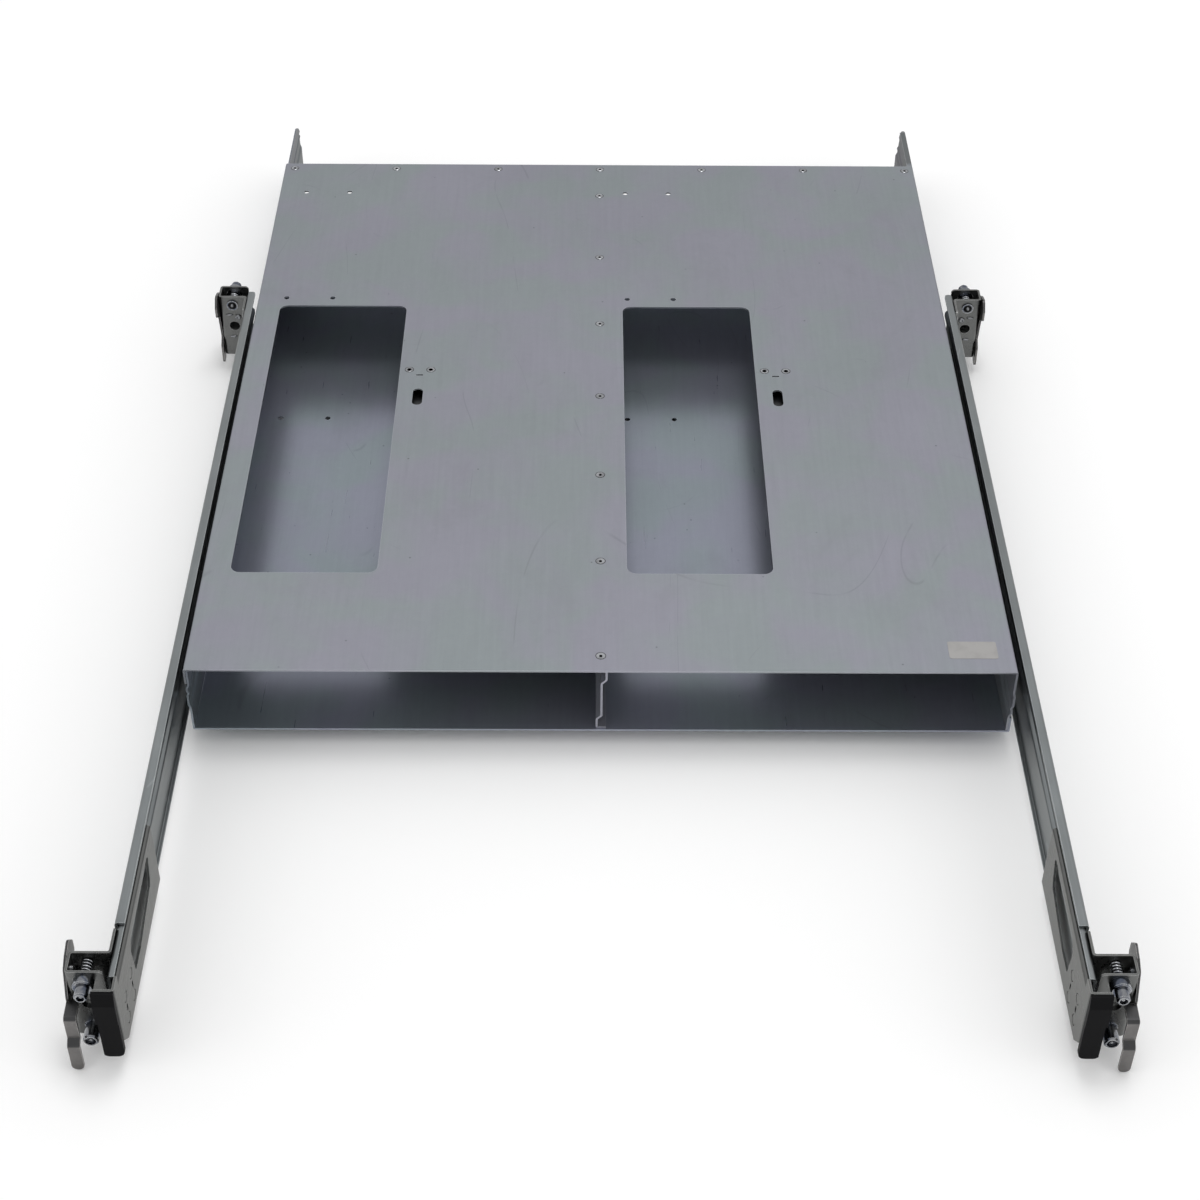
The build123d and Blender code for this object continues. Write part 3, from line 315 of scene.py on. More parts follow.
def plated_sheet(name, tint, gloss):
    """Zinc-plated sheet: satin, with streaks drawn along its length and edges painted paler as
    wear and painted highlight.
    """
    graph = Graph(name)
    streak = graph.noise(260.0, 4.0, (1.0, 0.03, 1.0), rough=0.7)
    cloud = graph.noise(24.0, 4.0, distortion=0.4)
    rub = scratches(graph, 30.0, 0.012, 0.1, 0.56)
    edge = graph.edge_wear_and_sheen(0.0005)
    base = graph.mix(streak * 0.5 + cloud * 0.5, shade(tint, 0.62), shade(tint, 1.38))
    base = graph.mix(rub * 0.35, base, shade(tint, 1.7))
    # Edges painted paler: wear and painted highlight
    base = graph.mix(edge * 0.7, base, shade(tint, 3.2))
    rough = gloss + 0.16 * streak + 0.10 * cloud
    relief = graph.bump(streak, 0.08, 0.0003)
    sockets = {"base_color": base, "metallic": RAIL_METAL, "roughness": rough, "normal": relief}
    return graph.surface(PLATE_SPECULAR, SATIN_GLANCE, **sockets)


def bright_plate(name, tint, cool, gloss, painted_edge_light=3.6, painted_slope_shade=None):
    """Bright plated or turned steel; its tint drifts, faces that are not upright can take a shade
    colour as painted shade, and its edges are painted by a factor of the tint, paler as wear and
    painted highlight, darker as painted shade.
    """
    graph = Graph(name)
    drift = graph.noise(160.0, 3.0, distortion=0.8)
    fine = graph.noise(1800.0, 2.0)
    edge = graph.edge_wear_and_sheen(0.0003)
    base = graph.mix(drift.band(0.35, 0.65), tint, cool)
    base = graph.mix(fine * 0.25, base, shade(tint, 0.6))
    if painted_slope_shade:
        # Painted shade: faces that are not upright take the given dark colour
        facing = graph.add("ShaderNodeNewGeometry", output="Normal")
        rise = graph.add("ShaderNodeSeparateXYZ", inputs={"Vector": facing}, output="Z")
        base = graph.mix(rise.size().band(0.08, 0.20) * 0.85, base, painted_slope_shade)
    # Edges painted by this factor of the tint: paler as wear and painted highlight, darker as
    # painted shade
    base = graph.mix(edge * 0.8, base, shade(tint, painted_edge_light))
    rough = gloss + 0.14 * fine + 0.08 * drift
    relief = graph.bump(fine, 0.05, 0.0002)
    return graph.surface(base_color=base, metallic=1.0, roughness=rough, normal=relief)


def moulded_black(name, tint):
    """Matte moulded plastic with a fine grain and paler edges, painted as rub wear and painted
    highlight.
    """
    graph = Graph(name)
    grain = graph.noise(2600.0, 3.0)
    cloud = graph.noise(60.0, 3.0)
    edge = graph.edge_wear_and_sheen(0.0006)
    base = graph.mix(cloud * 0.8, shade(tint, 0.7), shade(tint, 1.5))
    # Edges painted paler: rub wear and painted highlight
    base = graph.mix(edge * 0.5, base, shade(tint, 3.5))
    relief = graph.bump(grain, 0.25, 0.0003)
    rough = 0.42 + 0.15 * grain
    return graph.surface(specular=0.06, base_color=base, roughness=rough, normal=relief)


def label_stock(name, tint):
    """Plain coated paper, slightly yellowed and scuffed."""
    graph = Graph(name)
    fibre = graph.noise(900.0, 3.0)
    stain = graph.noise(120.0, 3.0, distortion=0.5)
    base = graph.mix(stain.band(0.4, 0.75) * 0.6, tint, shade(tint, 0.82))
    base = graph.mix(fibre * 0.12, base, shade(tint, 0.7))
    relief = graph.bump(fibre, 0.05, 0.0001)
    return graph.surface(base_color=base, roughness=0.38 + 0.1 * fibre, normal=relief)


def dress(material, *names):
    """Gives every slot of the named CAD nodes this material."""
    for name in names:
        slots = NODES[name].data.materials
        if not slots:
            slots.append(material)
        for index in range(len(slots)):
            slots[index] = material


def both_sides(*endings):
    """Node names of both rails with the given endings."""
    return [side + ending for side in ("left_", "right_") for ending in endings]


def both_ends(*endings):
    """Node names of all four stud brackets with the given endings."""
    return both_sides(*[end + ending for end in ("near_", "far_") for ending in endings])


class RackRailsFinish(bpy.types.PropertyGroup):
    """Colours and gloss of the sheets, plated parts and mouldings."""

    sheet_colour: bpy.props.FloatVectorProperty(
        name="Sheet",
        description="Colour of the tray's galvanised sheets",
        subtype="COLOR",
        min=0.0,
        max=1.0,
        default=(0.310, 0.324, 0.348),
    )
    sheet_gloss: bpy.props.FloatProperty(
        name="Sheet roughness",
        description="Roughness of the tray's sheets",
        min=0.0,
        max=1.0,
        subtype="FACTOR",
        default=0.36,
    )
    rail_colour: bpy.props.FloatVectorProperty(
        name="Rail",
        description="Colour of the plated rails and brackets",
        subtype="COLOR",
        min=0.0,
        max=1.0,
        default=(0.240, 0.256, 0.262),
    )
    rail_gloss: bpy.props.FloatProperty(
        name="Rail roughness",
        description="Roughness of the plated rails and brackets",
        min=0.0,
        max=1.0,
        subtype="FACTOR",
        default=0.20,
    )
    bright_colour: bpy.props.FloatVectorProperty(
        name="Bright parts",
        description="Colour of studs, collars, levers and rivets",
        subtype="COLOR",
        min=0.0,
        max=1.0,
        default=(0.27, 0.276, 0.29),
    )
    cool_colour: bpy.props.FloatVectorProperty(
        name="Plating tint",
        description="Bluish tint that drifts over the bright parts",
        subtype="COLOR",
        min=0.0,
        max=1.0,
        default=(0.085, 0.10, 0.138),
    )
    moulding_colour: bpy.props.FloatVectorProperty(
        name="Mouldings",
        description="Colour of the plastic bumpers and glide blocks",
        subtype="COLOR",
        min=0.0,
        max=1.0,
        default=(0.0042, 0.0042, 0.0048),
    )


class RackRailsLabel(bpy.types.PropertyGroup):
    """Size and place of the blank label on the cover."""

    width: bpy.props.FloatProperty(
        name="Width", description="Size across the tray", unit="LENGTH", default=0.0254
    )
    depth: bpy.props.FloatProperty(
        name="Depth", description="Size along the tray", unit="LENGTH", default=0.0130
    )
    thickness: bpy.props.FloatProperty(
        name="Thickness", description="Thickness of the stock", unit="LENGTH", default=0.00012
    )
    corner: bpy.props.FloatProperty(
        name="Corner", description="Radius of its corners", unit="LENGTH", default=0.0012
    )
    side_inset: bpy.props.FloatProperty(
        name="Side inset", description="Gap to the right edge", unit="LENGTH", default=0.0096
    )
    near_inset: bpy.props.FloatProperty(
        name="Near inset", description="Gap to the near edge", unit="LENGTH", default=0.0104
    )
    colour: bpy.props.FloatVectorProperty(
        name="Colour",
        description="Colour of the stock",
        subtype="COLOR",
        min=0.0,
        max=1.0,
        default=(0.34, 0.332, 0.325),
    )


class RackRailsDetails(bpy.types.PropertyGroup):
    """Sizes of the cover's rivet marks (dark discs of painted shade and painted shadow), the
    springs and the back walls' rivets and ridges.
    """

    rivet_radius: bpy.props.FloatProperty(
        name="Rivet", description="Radius of the rivet head", unit="LENGTH", default=0.0020
    )
    rivet_height: bpy.props.FloatProperty(
        name="Rivet height", description="Height of its crown", unit="LENGTH", default=0.0010
    )
    rivet_side: bpy.props.FloatProperty(
        name="Rivet side",
        description="Distance from the hole towards the rail",
        unit="LENGTH",
        default=0.0028,
    )
    rivet_rise: bpy.props.FloatProperty(
        name="Rivet rise",
        description="Height above the hole's middle",
        unit="LENGTH",
        default=0.0068,
    )
    # The pit in each rivet is drawn as a dark disc: painted shade
    pit_radius: bpy.props.FloatProperty(
        name="Pit", description="Radius of the dark pit in a rivet", unit="LENGTH", default=0.00095
    )
    # The pit's dark disc is shifted towards the near end as painted shade of the head's near side
    pit_shade_shift: bpy.props.FloatProperty(
        name="Pit shift", description="Shift towards the near end", unit="LENGTH", default=0.0005
    )
    # A dark disc under each head shows round it as a painted shadow ring
    shadow_ring_radius: bpy.props.FloatProperty(
        name="Shadow ring", description="Radius of the painted shadow ring round a rivet", unit="LENGTH", default=0.0030
    )
    pit_height: bpy.props.FloatProperty(
        name="Pit height", description="Thickness of a pit's disc", unit="LENGTH", default=0.00012
    )
    wire_radius: bpy.props.FloatProperty(
        name="Wire", description="Radius of the spring's wire", unit="LENGTH", default=0.00045
    )
    spring_swell: bpy.props.FloatProperty(
        name="Swell", description="Extra radius of each spring", unit="LENGTH", default=0.0003
    )
    spring_turns: bpy.props.FloatProperty(
        name="Turns", description="Turns of each spring", default=4.5
    )
    collar_travel: bpy.props.FloatProperty(
        name="Collar travel", description="Way of a pressed collar", unit="LENGTH", default=0.0043
    )
    ridge_length: bpy.props.FloatProperty(
        name="Ridge length", description="Length of a pressed ridge", unit="LENGTH", default=0.0044
    )
    ridge_width: bpy.props.FloatProperty(
        name="Ridge width", description="Width of a pressed ridge", unit="LENGTH", default=0.0017
    )


class RackRailsStudio(bpy.types.PropertyGroup):
    """Floor, lamps and camera."""

    floor_size: bpy.props.FloatProperty(
        name="Floor", description="Side of the square floor", unit="LENGTH", default=9.0
    )
    floor_colour: bpy.props.FloatVectorProperty(
        name="Floor colour",
        description="Colour of the floor",
        subtype="COLOR",
        min=0.0,
        max=1.0,
        default=(1.0, 1.0, 1.0),
    )
    sky_level: bpy.props.FloatProperty(
        name="Sky", description="Level of the even light from all sides", default=0.98
    )
    key_power: bpy.props.FloatProperty(
        name="Key", description="Power of the large overhead lamp", unit="POWER", default=16.0
    )
    side_power: bpy.props.FloatProperty(
        name="Sides", description="Power of each side lamp", unit="POWER", default=5.0
    )
    lens: bpy.props.FloatProperty(
        name="Lens", description="Focal length in millimetres", default=66.33
    )
    pitch: bpy.props.FloatProperty(
        name="Pitch", description="Angle below the horizon", subtype="ANGLE", default=0.7215
    )
    yaw: bpy.props.FloatProperty(
        name="Yaw", description="Turn towards +X", subtype="ANGLE", default=0.0075
    )
    roll: bpy.props.FloatProperty(
        name="Roll", description="Roll about the view", subtype="ANGLE", default=-0.0087
    )
    camera_place: bpy.props.FloatVectorProperty(
        name="Camera",
        description="Camera position",
        subtype="TRANSLATION",
        unit="LENGTH",
        default=(-0.00737, -1.01275, 0.83103),
    )


class RACKRAILS_OT_tray_finish(bpy.types.Operator):
    """Galvanised finish of the tray's sheets, divider and stiffener"""

    bl_idname = "rackrails.tray_finish"
    bl_label = "Finish Tray"

    def execute(self, context):
        look = context.scene.rackrails_finish
        sheet = galvanised_sheet("galvanised_sheet", tuple(look.sheet_colour), look.sheet_gloss)
        dress(sheet, "tray_cover", "center_divider", "rear_stiffener")
        # The base's sheet is tinted bluer: a painted cast of the shade in its bays
        cool = tinged(look.sheet_colour, -0.01, 0.03, 0.08)
        dress(galvanised_sheet("bay_sheet", cool, look.sheet_gloss * 0.68), "tray_base")
        return {"FINISHED"}


class RACKRAILS_OT_rail_finish(bpy.types.Operator):
    """Plated finish of the rails, slide members and stud brackets"""

    bl_idname = "rackrails.rail_finish"
    bl_label = "Finish Rails"

    def execute(self, context):
        look = context.scene.rackrails_finish
        tint = tuple(look.rail_colour)
        rail = plated_sheet("plated_rail", tint, look.rail_gloss)
        dress(rail, *both_sides("rail_body", "rail_extension", "slide_member"))
        warm = tinged(shade(tint, 0.61), 0.05, 0.0, -0.04)
        bracket = plated_sheet("plated_bracket", warm, look.rail_gloss * 0.8)
        dress(bracket, *both_ends("stud_carrier"))
        dress(bracket, *both_sides("near_bracket_plate", "near_bracket_rivets"))
        return {"FINISHED"}


class RACKRAILS_OT_bright_finish(bpy.types.Operator):
    """Bright finish of studs, collars, springs, levers, pins and rivets"""

    bl_idname = "rackrails.bright_finish"
    bl_label = "Finish Bright Parts"

    def execute(self, context):
        look = context.scene.rackrails_finish
        tint, cool = tuple(look.bright_colour), tuple(look.cool_colour)
        turned = bright_plate("bright_turned", tint, cool, 0.08)
        dress(turned, *both_ends("upper_stud", "lower_stud", "stud_collar", "latch_pin"))
        # The rivet steel also paints the pressed ridges bright: painted highlight
        rivet = bright_plate("rivet_steel", tint, shade(tint, 0.8), 0.16)
        dress(rivet, *both_ends("carrier_rivets"))
        dress(rivet, *both_sides("slide_member_rivets"))
        # The low edge factor paints the tray rivets' edges dark: painted shade round their heads
        pale = bright_plate("tray_rivet", shade(tint, 1.7), shade(tint, 1.0), 0.14, painted_edge_light=0.16)
        dress(pale, "divider_rivets", "rear_rivets", "bay_latch_rivets", "bay_latch_pins")
        # Near-black steel for the discs that stand for shade: painted shade
        bright_plate("recess_steel", shade(tint, 0.10), shade(tint, 0.07), 0.30, painted_edge_light=0.5)
        spring = bright_plate("spring_wire", shade(tint, 2.0), shade(tint, 1.1), 0.12)
        dress(spring, *both_ends("stud_spring"))
        # The levers' sloped faces get a near-dark colour: painted shade by the way they face
        warm, dark = tinged(shade(tint, 0.66), 0.06, 0.0, -0.07), shade(tint, 0.18)
        lever = bright_plate("lever_plate", warm, shade(warm, 0.85), 0.20, painted_slope_shade=dark)
        dress(lever, *both_ends("latch_lever"))
        dress(lever, "bay_latch_brackets", "left_bay_latch", "right_bay_latch")
        return {"FINISHED"}


class RACKRAILS_OT_moulding_finish(bpy.types.Operator):
    """Black plastic finish of the bumpers and glide blocks"""

    bl_idname = "rackrails.moulding_finish"
    bl_label = "Finish Mouldings"

    def execute(self, context):
        look = context.scene.rackrails_finish
        black = moulded_black("moulded_black", tuple(look.moulding_colour))
        dress(black, *both_sides("near_bumper", "rail_glides"))
        return {"FINISHED"}


def linked(name, data):
    """An object of this mesh in the scene's collection."""
    piece = bpy.data.objects.new(name, data)
    bpy.context.scene.collection.objects.link(piece)
    return piece


def made_object(name, mesh, smooth=False):
    """An object of a finished bmesh, which is freed."""
    data = bpy.data.meshes.new(name)
    mesh.to_mesh(data)
    mesh.free()
    if smooth:
        data.shade_smooth()
    return linked(name, data)


def ride_as(piece, material, body):
    """Finishes a piece: its material and the body that it rides on."""
    piece.data.materials.append(material)
    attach(piece, body)


def carrier_body(side, end):
    """The body that a stud bracket is fixed to."""
    return "rails" if end == "far" else f"{side}_extension"


def brackets():
    """Side, sign outwards, end and sign from the post inwards, of all four stud brackets."""
    for side, out in (("left", -1.0), ("right", 1.0)):
        for end, inward in (("near", 1.0), ("far", -1.0)):
            yield side, out, end, inward


def rounded_plate(name, width, depth, thickness, corner):
    """Thin plate with rounded corners, its underside on Z = 0."""
    mesh = bmesh.new()
    ring = []
    for quarter in range(4):
        turn = math.pi / 2 * quarter
        centre_x = (width / 2 - corner) * (1 if quarter in (0, 3) else -1)
        centre_y = (depth / 2 - corner) * (1 if quarter in (0, 1) else -1)
        for step in range(CORNER_STEPS + 1):
            angle = turn + math.pi / 2 * step / CORNER_STEPS
            x = centre_x + corner * math.cos(angle)
            y = centre_y + corner * math.sin(angle)
            ring.append(mesh.verts.new((x, y, 0.0)))
    face = mesh.faces.new(ring)
    lifted = bmesh.ops.extrude_face_region(mesh, geom=[face])["geom"]
    tops = [item for item in lifted if isinstance(item, bmesh.types.BMVert)]
    bmesh.ops.translate(mesh, verts=tops, vec=(0.0, 0.0, thickness))
    bmesh.ops.recalc_face_normals(mesh, faces=mesh.faces)
    return made_object(name, mesh)


def turned_mesh(name, profile):
    """Closed solid turned about Y, from (along, radius) pairs that start and end on the axis."""
    mesh = bmesh.new()
    start = mesh.verts.new((0.0, profile[0][0], 0.0))
    stop = mesh.verts.new((0.0, profile[-1][0], 0.0))
    angles = [2.0 * math.pi * step / TURNED_FACETS for step in range(TURNED_FACETS)]
    rings = [
        [mesh.verts.new((radius * math.cos(a), along, radius * math.sin(a))) for a in angles]
        for along, radius in profile[1:-1]
    ]
    for step in range(TURNED_FACETS):
        after = (step + 1) % TURNED_FACETS
        mesh.faces.new((start, rings[0][step], rings[0][after]))
        mesh.faces.new((stop, rings[-1][after], rings[-1][step]))
        for ring, other in zip(rings, rings[1:]):
            mesh.faces.new((ring[step], other[step], other[after], ring[after]))
    bmesh.ops.recalc_face_normals(mesh, faces=mesh.faces)
    return made_object(name, mesh, smooth=True)


def set_rivet(name, radius, height):
    """Rivet head whose crown stands on Y = 0 and has a shallow dimple."""
    profile = [(along * height, share * radius) for along, share in RIVET_PROFILE]
    return turned_mesh(name, profile)


def pressed_ridge(name, length, width):
    """Short bar with rounded ends, half of it sunk in the wall."""
    inner = [math.pi * step / RIDGE_STEPS for step in range(1, RIDGE_STEPS)]
    profile = [
        (-math.cos(a) * length / 2, math.sin(a) ** RIDGE_FULLNESS * width / 2) for a in inner
    ]
    return turned_mesh(name, [(-length / 2, 0.0), *profile, (length / 2, 0.0)])


def island_tops(node):
    """Middle of the top of each separate solid in a CAD node."""
    mesh = bmesh.new()
    mesh.from_mesh(NODES[node].data)
    seen, tops = set(), []
    for first in mesh.verts:
        if first in seen:
            continue
        seen.add(first)
        reached = [first]
        for vert in reached:
            for edge in vert.link_edges:
                other = edge.other_vert(vert)
                if other not in seen:
                    seen.add(other)
                    reached.append(other)
        across = [vert.co.x for vert in reached]
        along = [vert.co.y for vert in reached]
        middle = ((min(across) + max(across)) / 2, (min(along) + max(along)) / 2)
        tops.append(Vector((*middle, max(vert.co.z for vert in reached))))
    mesh.free()
    return tops


def shade_discs(name, centres, radius, thickness):
    """One mesh of thin dark discs, one at each centre, which stand for shade: painted shade."""
    mesh = bmesh.new()
    for centre in centres:
        bmesh.ops.create_cone(
            mesh,
            cap_ends=True,
            segments=PIT_FACETS,
            radius1=radius,
            radius2=radius * PIT_TAPER,
            depth=thickness,
            matrix=Matrix.Translation(centre),
        )
    return made_object(name, mesh)


class RACKRAILS_OT_rivet_shade(bpy.types.Operator):
    """Painted shade on the tray's rivets: a dark disc in each head, shifted towards the near end
    and larger on the dome rivets, and a dark disc round each as painted shadow
    """

    bl_idname = "rackrails.rivet_pits"
    bl_label = "Add Rivet Pits"

    def execute(self, context):
        look = context.scene.rackrails_details
        tops = island_tops("divider_rivets") + island_tops("rear_rivets")
        domes = island_tops("bay_latch_rivets")
        shift = Vector((0.0, -look.pit_shade_shift, 0.0))
        # Dark discs at cover height round each rivet: painted shadow
        shadow_rings = [Vector((top.x, top.y, COVER_HIGH.z)) for top in tops + domes]
        groups = (
            ("tray_rivet_pits", [top + shift for top in tops], look.pit_radius),
            ("dome_rivet_pits", [top + shift for top in domes], look.pit_radius * DOME_SHADE_SCALE),
            ("tray_rivet_seats", shadow_rings, look.shadow_ring_radius),
        )
        for name, centres, radius in groups:
            pits = shade_discs(name, centres, radius, look.pit_height)
            ride_as(pits, bpy.data.materials["recess_steel"], "tray")
        return {"FINISHED"}


def coil_mesh(name, centre, start, stop, radius, wire, turns):
    """Round wire wound about a line along Y from start to stop."""
    mesh = bmesh.new()
    steps = int(turns * COIL_STEPS)
    rings = []
    for step in range(steps + 1):
        angle = 2.0 * math.pi * turns * step / steps
        out = Vector((math.cos(angle), 0.0, math.sin(angle)))
        middle = Vector((centre.x, start + (stop - start) * step / steps, centre.z)) + out * radius
        ring = []
        for facet in range(WIRE_FACETS):
            lean = 2.0 * math.pi * facet / WIRE_FACETS
            reach = out * math.cos(lean) + Vector((0.0, math.sin(lean), 0.0))
            ring.append(mesh.verts.new(middle + reach * wire))
        rings.append(ring)
    for ring, other in zip(rings, rings[1:]):
        for facet in range(WIRE_FACETS):
            after = (facet + 1) % WIRE_FACETS
            mesh.faces.new((ring[facet], other[facet], other[after], ring[after]))
    mesh.faces.new(rings[0])
    mesh.faces.new(rings[-1])
    bmesh.ops.recalc_face_normals(mesh, faces=mesh.faces)
    return made_object(name, mesh, smooth=True)


class RACKRAILS_OT_springs(bpy.types.Operator):
    """Coil spring behind each collar, in place of the CAD spring"""

    bl_idname = "rackrails.springs"
    bl_label = "Add Springs"

    def execute(self, context):
        look = context.scene.rackrails_details
        steel = bpy.data.materials["spring_wire"]
        for side, _, end, _ in brackets():
            key = f"{side}_{end}_"
            low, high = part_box(key + "stud_spring")
            radius = (high.x - low.x) / 2 - look.wire_radius + look.spring_swell
            start, stop = low.y + look.wire_radius, high.y - look.wire_radius
            wire = (radius, look.wire_radius, look.spring_turns)
            coil = coil_mesh(key + "spring_coil", (low + high) / 2, start, stop, *wire)
            ride_as(coil, steel, carrier_body(side, end))
            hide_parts(key + "stud_spring")
            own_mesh(coil)
        return {"FINISHED"}


class RACKRAILS_OT_wall_details(bpy.types.Operator):
    """Set rivet, pressed ridges and stud tail on the back wall of each stud bracket; the ridges
    take the brighter rivet steel as painted highlight, and the tail's dark disc is painted shade
    """

    bl_idname = "rackrails.wall_details"
    bl_label = "Add Wall Details"

    def execute(self, context):
        look = context.scene.rackrails_details
        steel = bpy.data.materials["rivet_steel"]
        for side, out, end, inward in brackets():
            key, body = f"{side}_{end}_", carrier_body(side, end)
            hole = MOUNTS[key + "screw_hole"]
            wall = MOUNTS[key + "post_face"].y + inward * BRACKET_DEPTH
            rivet = set_rivet(key + "wall_rivet", look.rivet_radius, look.rivet_height)
            rivet.location = (hole.x - out * look.rivet_side, wall, hole.z + look.rivet_rise)
            rivet.rotation_euler.z = self.facing(end)
            ride_as(rivet, steel, body)
            self.add_tail(key, end, body)
            for number, (shift, rise, lean) in enumerate(WALL_RIDGES, start=1):
                name = f"{key}wall_ridge_{number}"
                ridge = pressed_ridge(name, look.ridge_length, look.ridge_width)
                ridge.location = (hole.x + out * shift, wall, hole.z + rise)
                ridge.rotation_euler = (0.0, out * lean, math.pi / 2)
                # The pressed ridges take the brighter rivet steel, not the bracket's sheet:
                # painted highlight
                ride_as(ridge, steel, body)
        return {"FINISHED"}

    def facing(self, end):
        """Turn about Z that makes a piece made for a far wall stand on this wall's inner side."""
        return 0.0 if end == "far" else math.pi

    def add_tail(self, key, end, body):
        """Dark disc with a bright centre in the riveted tail of the upper stud; the dark disc is
        painted shade of the tail's hollow.
        """
        low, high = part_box(key + "upper_stud")
        stud = MOUNTS[key + "upper_stud"]
        for suffix, profile, material in (
            ("tail_dish", TAIL_SHADE_DISC, "recess_steel"),
            ("tail_crown", TAIL_CROWN, "rivet_steel"),
        ):
            piece = turned_mesh(key + suffix, profile)
            piece.location = (stud.x, low.y if end == "far" else high.y, stud.z)
            piece.rotation_euler.z = self.facing(end)
            ride_as(piece, bpy.data.materials[material], body)


class RACKRAILS_OT_label(bpy.types.Operator):
    """Blank label at the cover's near right corner"""

    bl_idname = "rackrails.label"
    bl_label = "Add Label"

    def execute(self, context):
        size = context.scene.rackrails_label
        plate = rounded_plate("blank_label", size.width, size.depth, size.thickness, size.corner)
        near_edge = COVER_LOW.y
        right_edge = COVER_HIGH.x
        plate.location = (
            right_edge - size.side_inset - size.width / 2,
            near_edge + size.near_inset + size.depth / 2,
            COVER_HIGH.z,
        )
        stock = label_stock("label_stock", tuple(size.colour))
        ride_as(plate, stock, "tray")
        return {"FINISHED"}


def lamp(name, place, aim, size, power):
    """Square area lamp at place that points at aim."""
    data = bpy.data.lights.new(name, "AREA")
    data.shape = "SQUARE"
    data.size = size
    data.energy = power
    light = bpy.data.objects.new(name, data)
    light.location = place
    direction = Vector(aim) - Vector(place)
    light.rotation_euler = direction.to_track_quat("-Z", "Y").to_euler()
    bpy.context.scene.collection.objects.link(light)


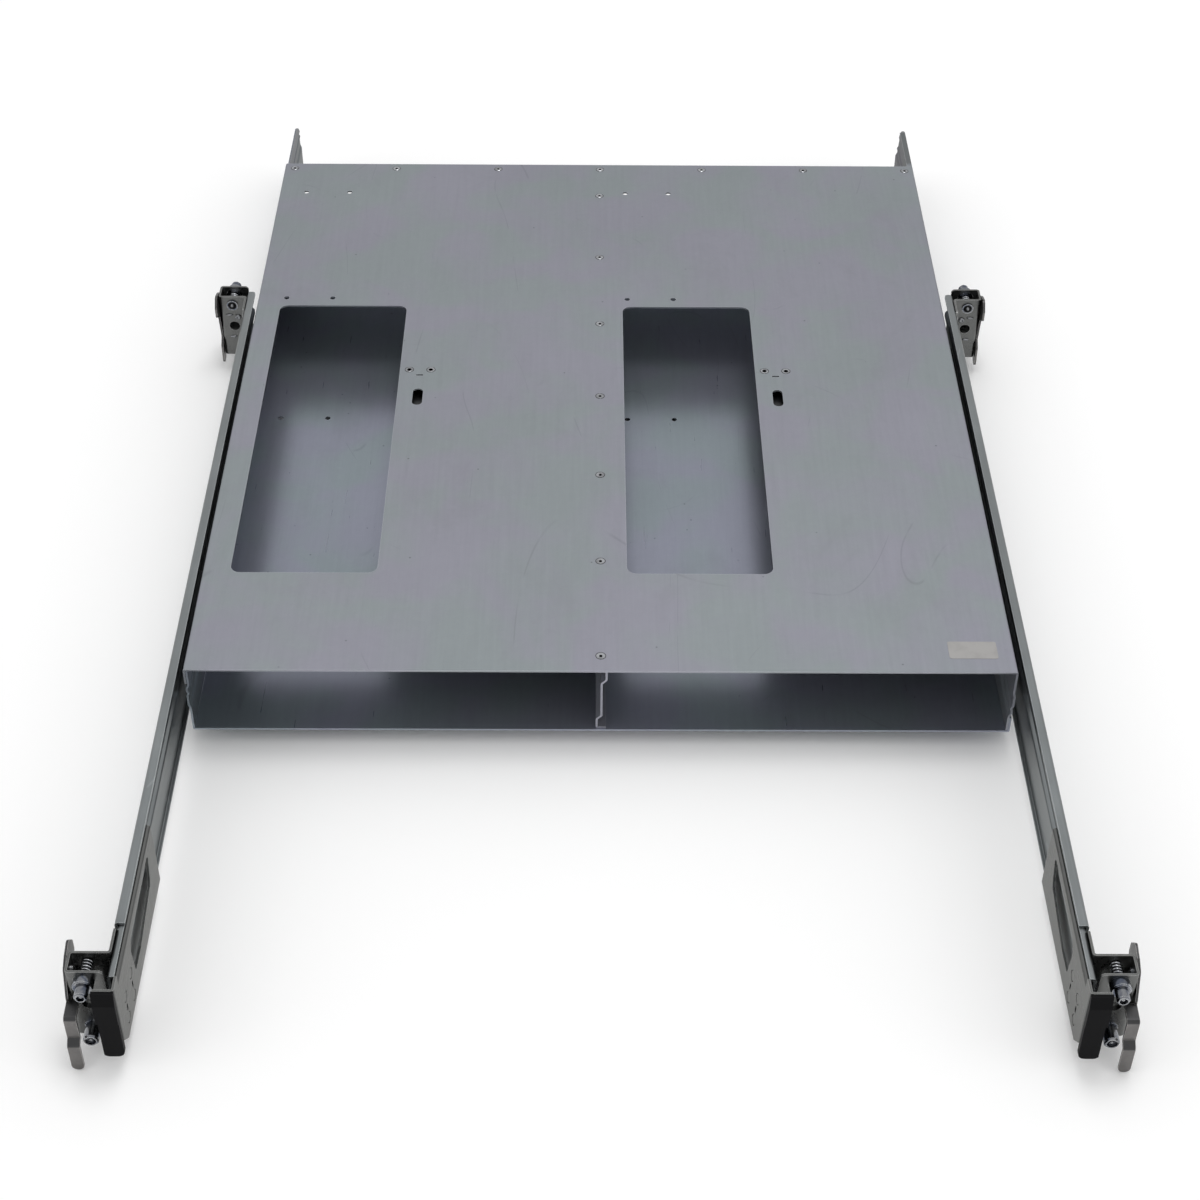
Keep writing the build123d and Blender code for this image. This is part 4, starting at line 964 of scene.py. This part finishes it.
class RACKRAILS_OT_studio(bpy.types.Operator):
    """White floor, even sky, soft lamps and the camera"""

    bl_idname = "rackrails.studio"
    bl_label = "Set Up Studio"

    def execute(self, context):
        stage = context.scene.rackrails_studio
        self.make_floor(stage)
        self.make_sky(context.scene, stage)
        for name, place, aim, size, power in LAMPS:
            lamp(name, place, aim, size, getattr(stage, power))
        self.make_camera(context.scene, stage)
        context.scene.view_settings.view_transform = "Standard"
        return {"FINISHED"}

    def make_floor(self, stage):
        half = stage.floor_size / 2
        corners = [(-half, -half), (half, -half), (half, half), (-half, half)]
        data = bpy.data.meshes.new("studio_floor")
        data.from_pydata([(x, y, -FLOOR_DROP) for x, y in corners], [], [(0, 1, 2, 3)])
        floor = linked("studio_floor", data)
        colour = opaque(tuple(stage.floor_colour))
        data.materials.append(Graph("studio_floor").surface(base_color=colour, roughness=0.9))

    def make_sky(self, scene, stage):
        world = bpy.data.worlds.new("studio_sky")
        world.use_nodes = True
        tree = world.node_tree
        tree.nodes.clear()
        rays = tree.nodes.new("ShaderNodeLightPath")
        seen = tree.nodes.new("ShaderNodeMath")
        seen.operation = "MAXIMUM"
        mirrored = tree.nodes.new("ShaderNodeMath")
        mirrored.operation = "MAXIMUM"
        level = tree.nodes.new("ShaderNodeMapRange")
        level.inputs["To Min"].default_value = stage.sky_level
        level.inputs["To Max"].default_value = 1.0
        sky = tree.nodes.new("ShaderNodeBackground")
        output = tree.nodes.new("ShaderNodeOutputWorld")
        tree.links.new(rays.outputs["Is Camera Ray"], seen.inputs[0])
        tree.links.new(rays.outputs["Is Transmission Ray"], seen.inputs[1])
        tree.links.new(seen.outputs[0], mirrored.inputs[0])
        tree.links.new(rays.outputs["Is Glossy Ray"], mirrored.inputs[1])
        tree.links.new(mirrored.outputs[0], level.inputs["Value"])
        tree.links.new(level.outputs[0], sky.inputs["Strength"])
        tree.links.new(sky.outputs[0], output.inputs["Surface"])
        scene.world = world

    def make_camera(self, scene, stage):
        sine, cosine = math.sin(stage.pitch), math.cos(stage.pitch)
        forward = Vector((math.sin(stage.yaw) * cosine, math.cos(stage.yaw) * cosine, -sine))
        level = Vector((math.cos(stage.yaw), -math.sin(stage.yaw), 0.0))
        below = forward.cross(level)
        right = level * math.cos(stage.roll) + below * math.sin(stage.roll)
        down = below * math.cos(stage.roll) - level * math.sin(stage.roll)
        turn = Matrix((right, -down, -forward)).transposed().to_4x4()
        data = bpy.data.cameras.new("photo_camera")
        data.lens = stage.lens
        data.sensor_width = SENSOR_WIDTH
        data.clip_end = VIEW_REACH
        camera = bpy.data.objects.new("photo_camera", data)
        camera.matrix_world = Matrix.Translation(Vector(stage.camera_place)) @ turn
        scene.collection.objects.link(camera)
        scene.camera = camera


class RACKRAILS_PT_panel(bpy.types.Panel):
    """Lists the steps and their settings"""

    bl_idname = "RACKRAILS_PT_panel"
    bl_label = "Rack Rails"
    bl_space_type = "VIEW_3D"
    bl_region_type = "UI"
    bl_category = "Rack Rails"

    def draw(self, context):
        for operator in OPERATORS:
            self.layout.operator(operator.bl_idname)
        for name, group in SETTINGS.items():
            box = self.layout.box()
            for setting in group.__annotations__:
                box.prop(getattr(context.scene, name), setting)


OPERATORS = (
    RACKRAILS_OT_tray_finish,
    RACKRAILS_OT_rail_finish,
    RACKRAILS_OT_bright_finish,
    RACKRAILS_OT_moulding_finish,
    RACKRAILS_OT_rivet_shade,
    RACKRAILS_OT_springs,
    RACKRAILS_OT_wall_details,
    RACKRAILS_OT_label,
    RACKRAILS_OT_studio,
)
SETTINGS = {
    "rackrails_finish": RackRailsFinish,
    "rackrails_details": RackRailsDetails,
    "rackrails_label": RackRailsLabel,
    "rackrails_studio": RackRailsStudio,
}
CLASSES = (*SETTINGS.values(), *OPERATORS, RACKRAILS_PT_panel)


def register():
    for item in CLASSES:
        bpy.utils.register_class(item)
    for name, group in SETTINGS.items():
        setattr(bpy.types.Scene, name, bpy.props.PointerProperty(type=group))


def unregister():
    for name in SETTINGS:
        delattr(bpy.types.Scene, name)
    for item in reversed(CLASSES):
        bpy.utils.unregister_class(item)


def main():
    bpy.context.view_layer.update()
    register()
    bpy.ops.rackrails.tray_finish()
    bpy.ops.rackrails.rail_finish()
    bpy.ops.rackrails.bright_finish()
    bpy.ops.rackrails.moulding_finish()
    bpy.ops.rackrails.rivet_pits()
    bpy.ops.rackrails.springs()
    bpy.ops.rackrails.wall_details()
    bpy.ops.rackrails.label()
    bpy.ops.rackrails.studio()


if __name__ == "__main__":
    main()
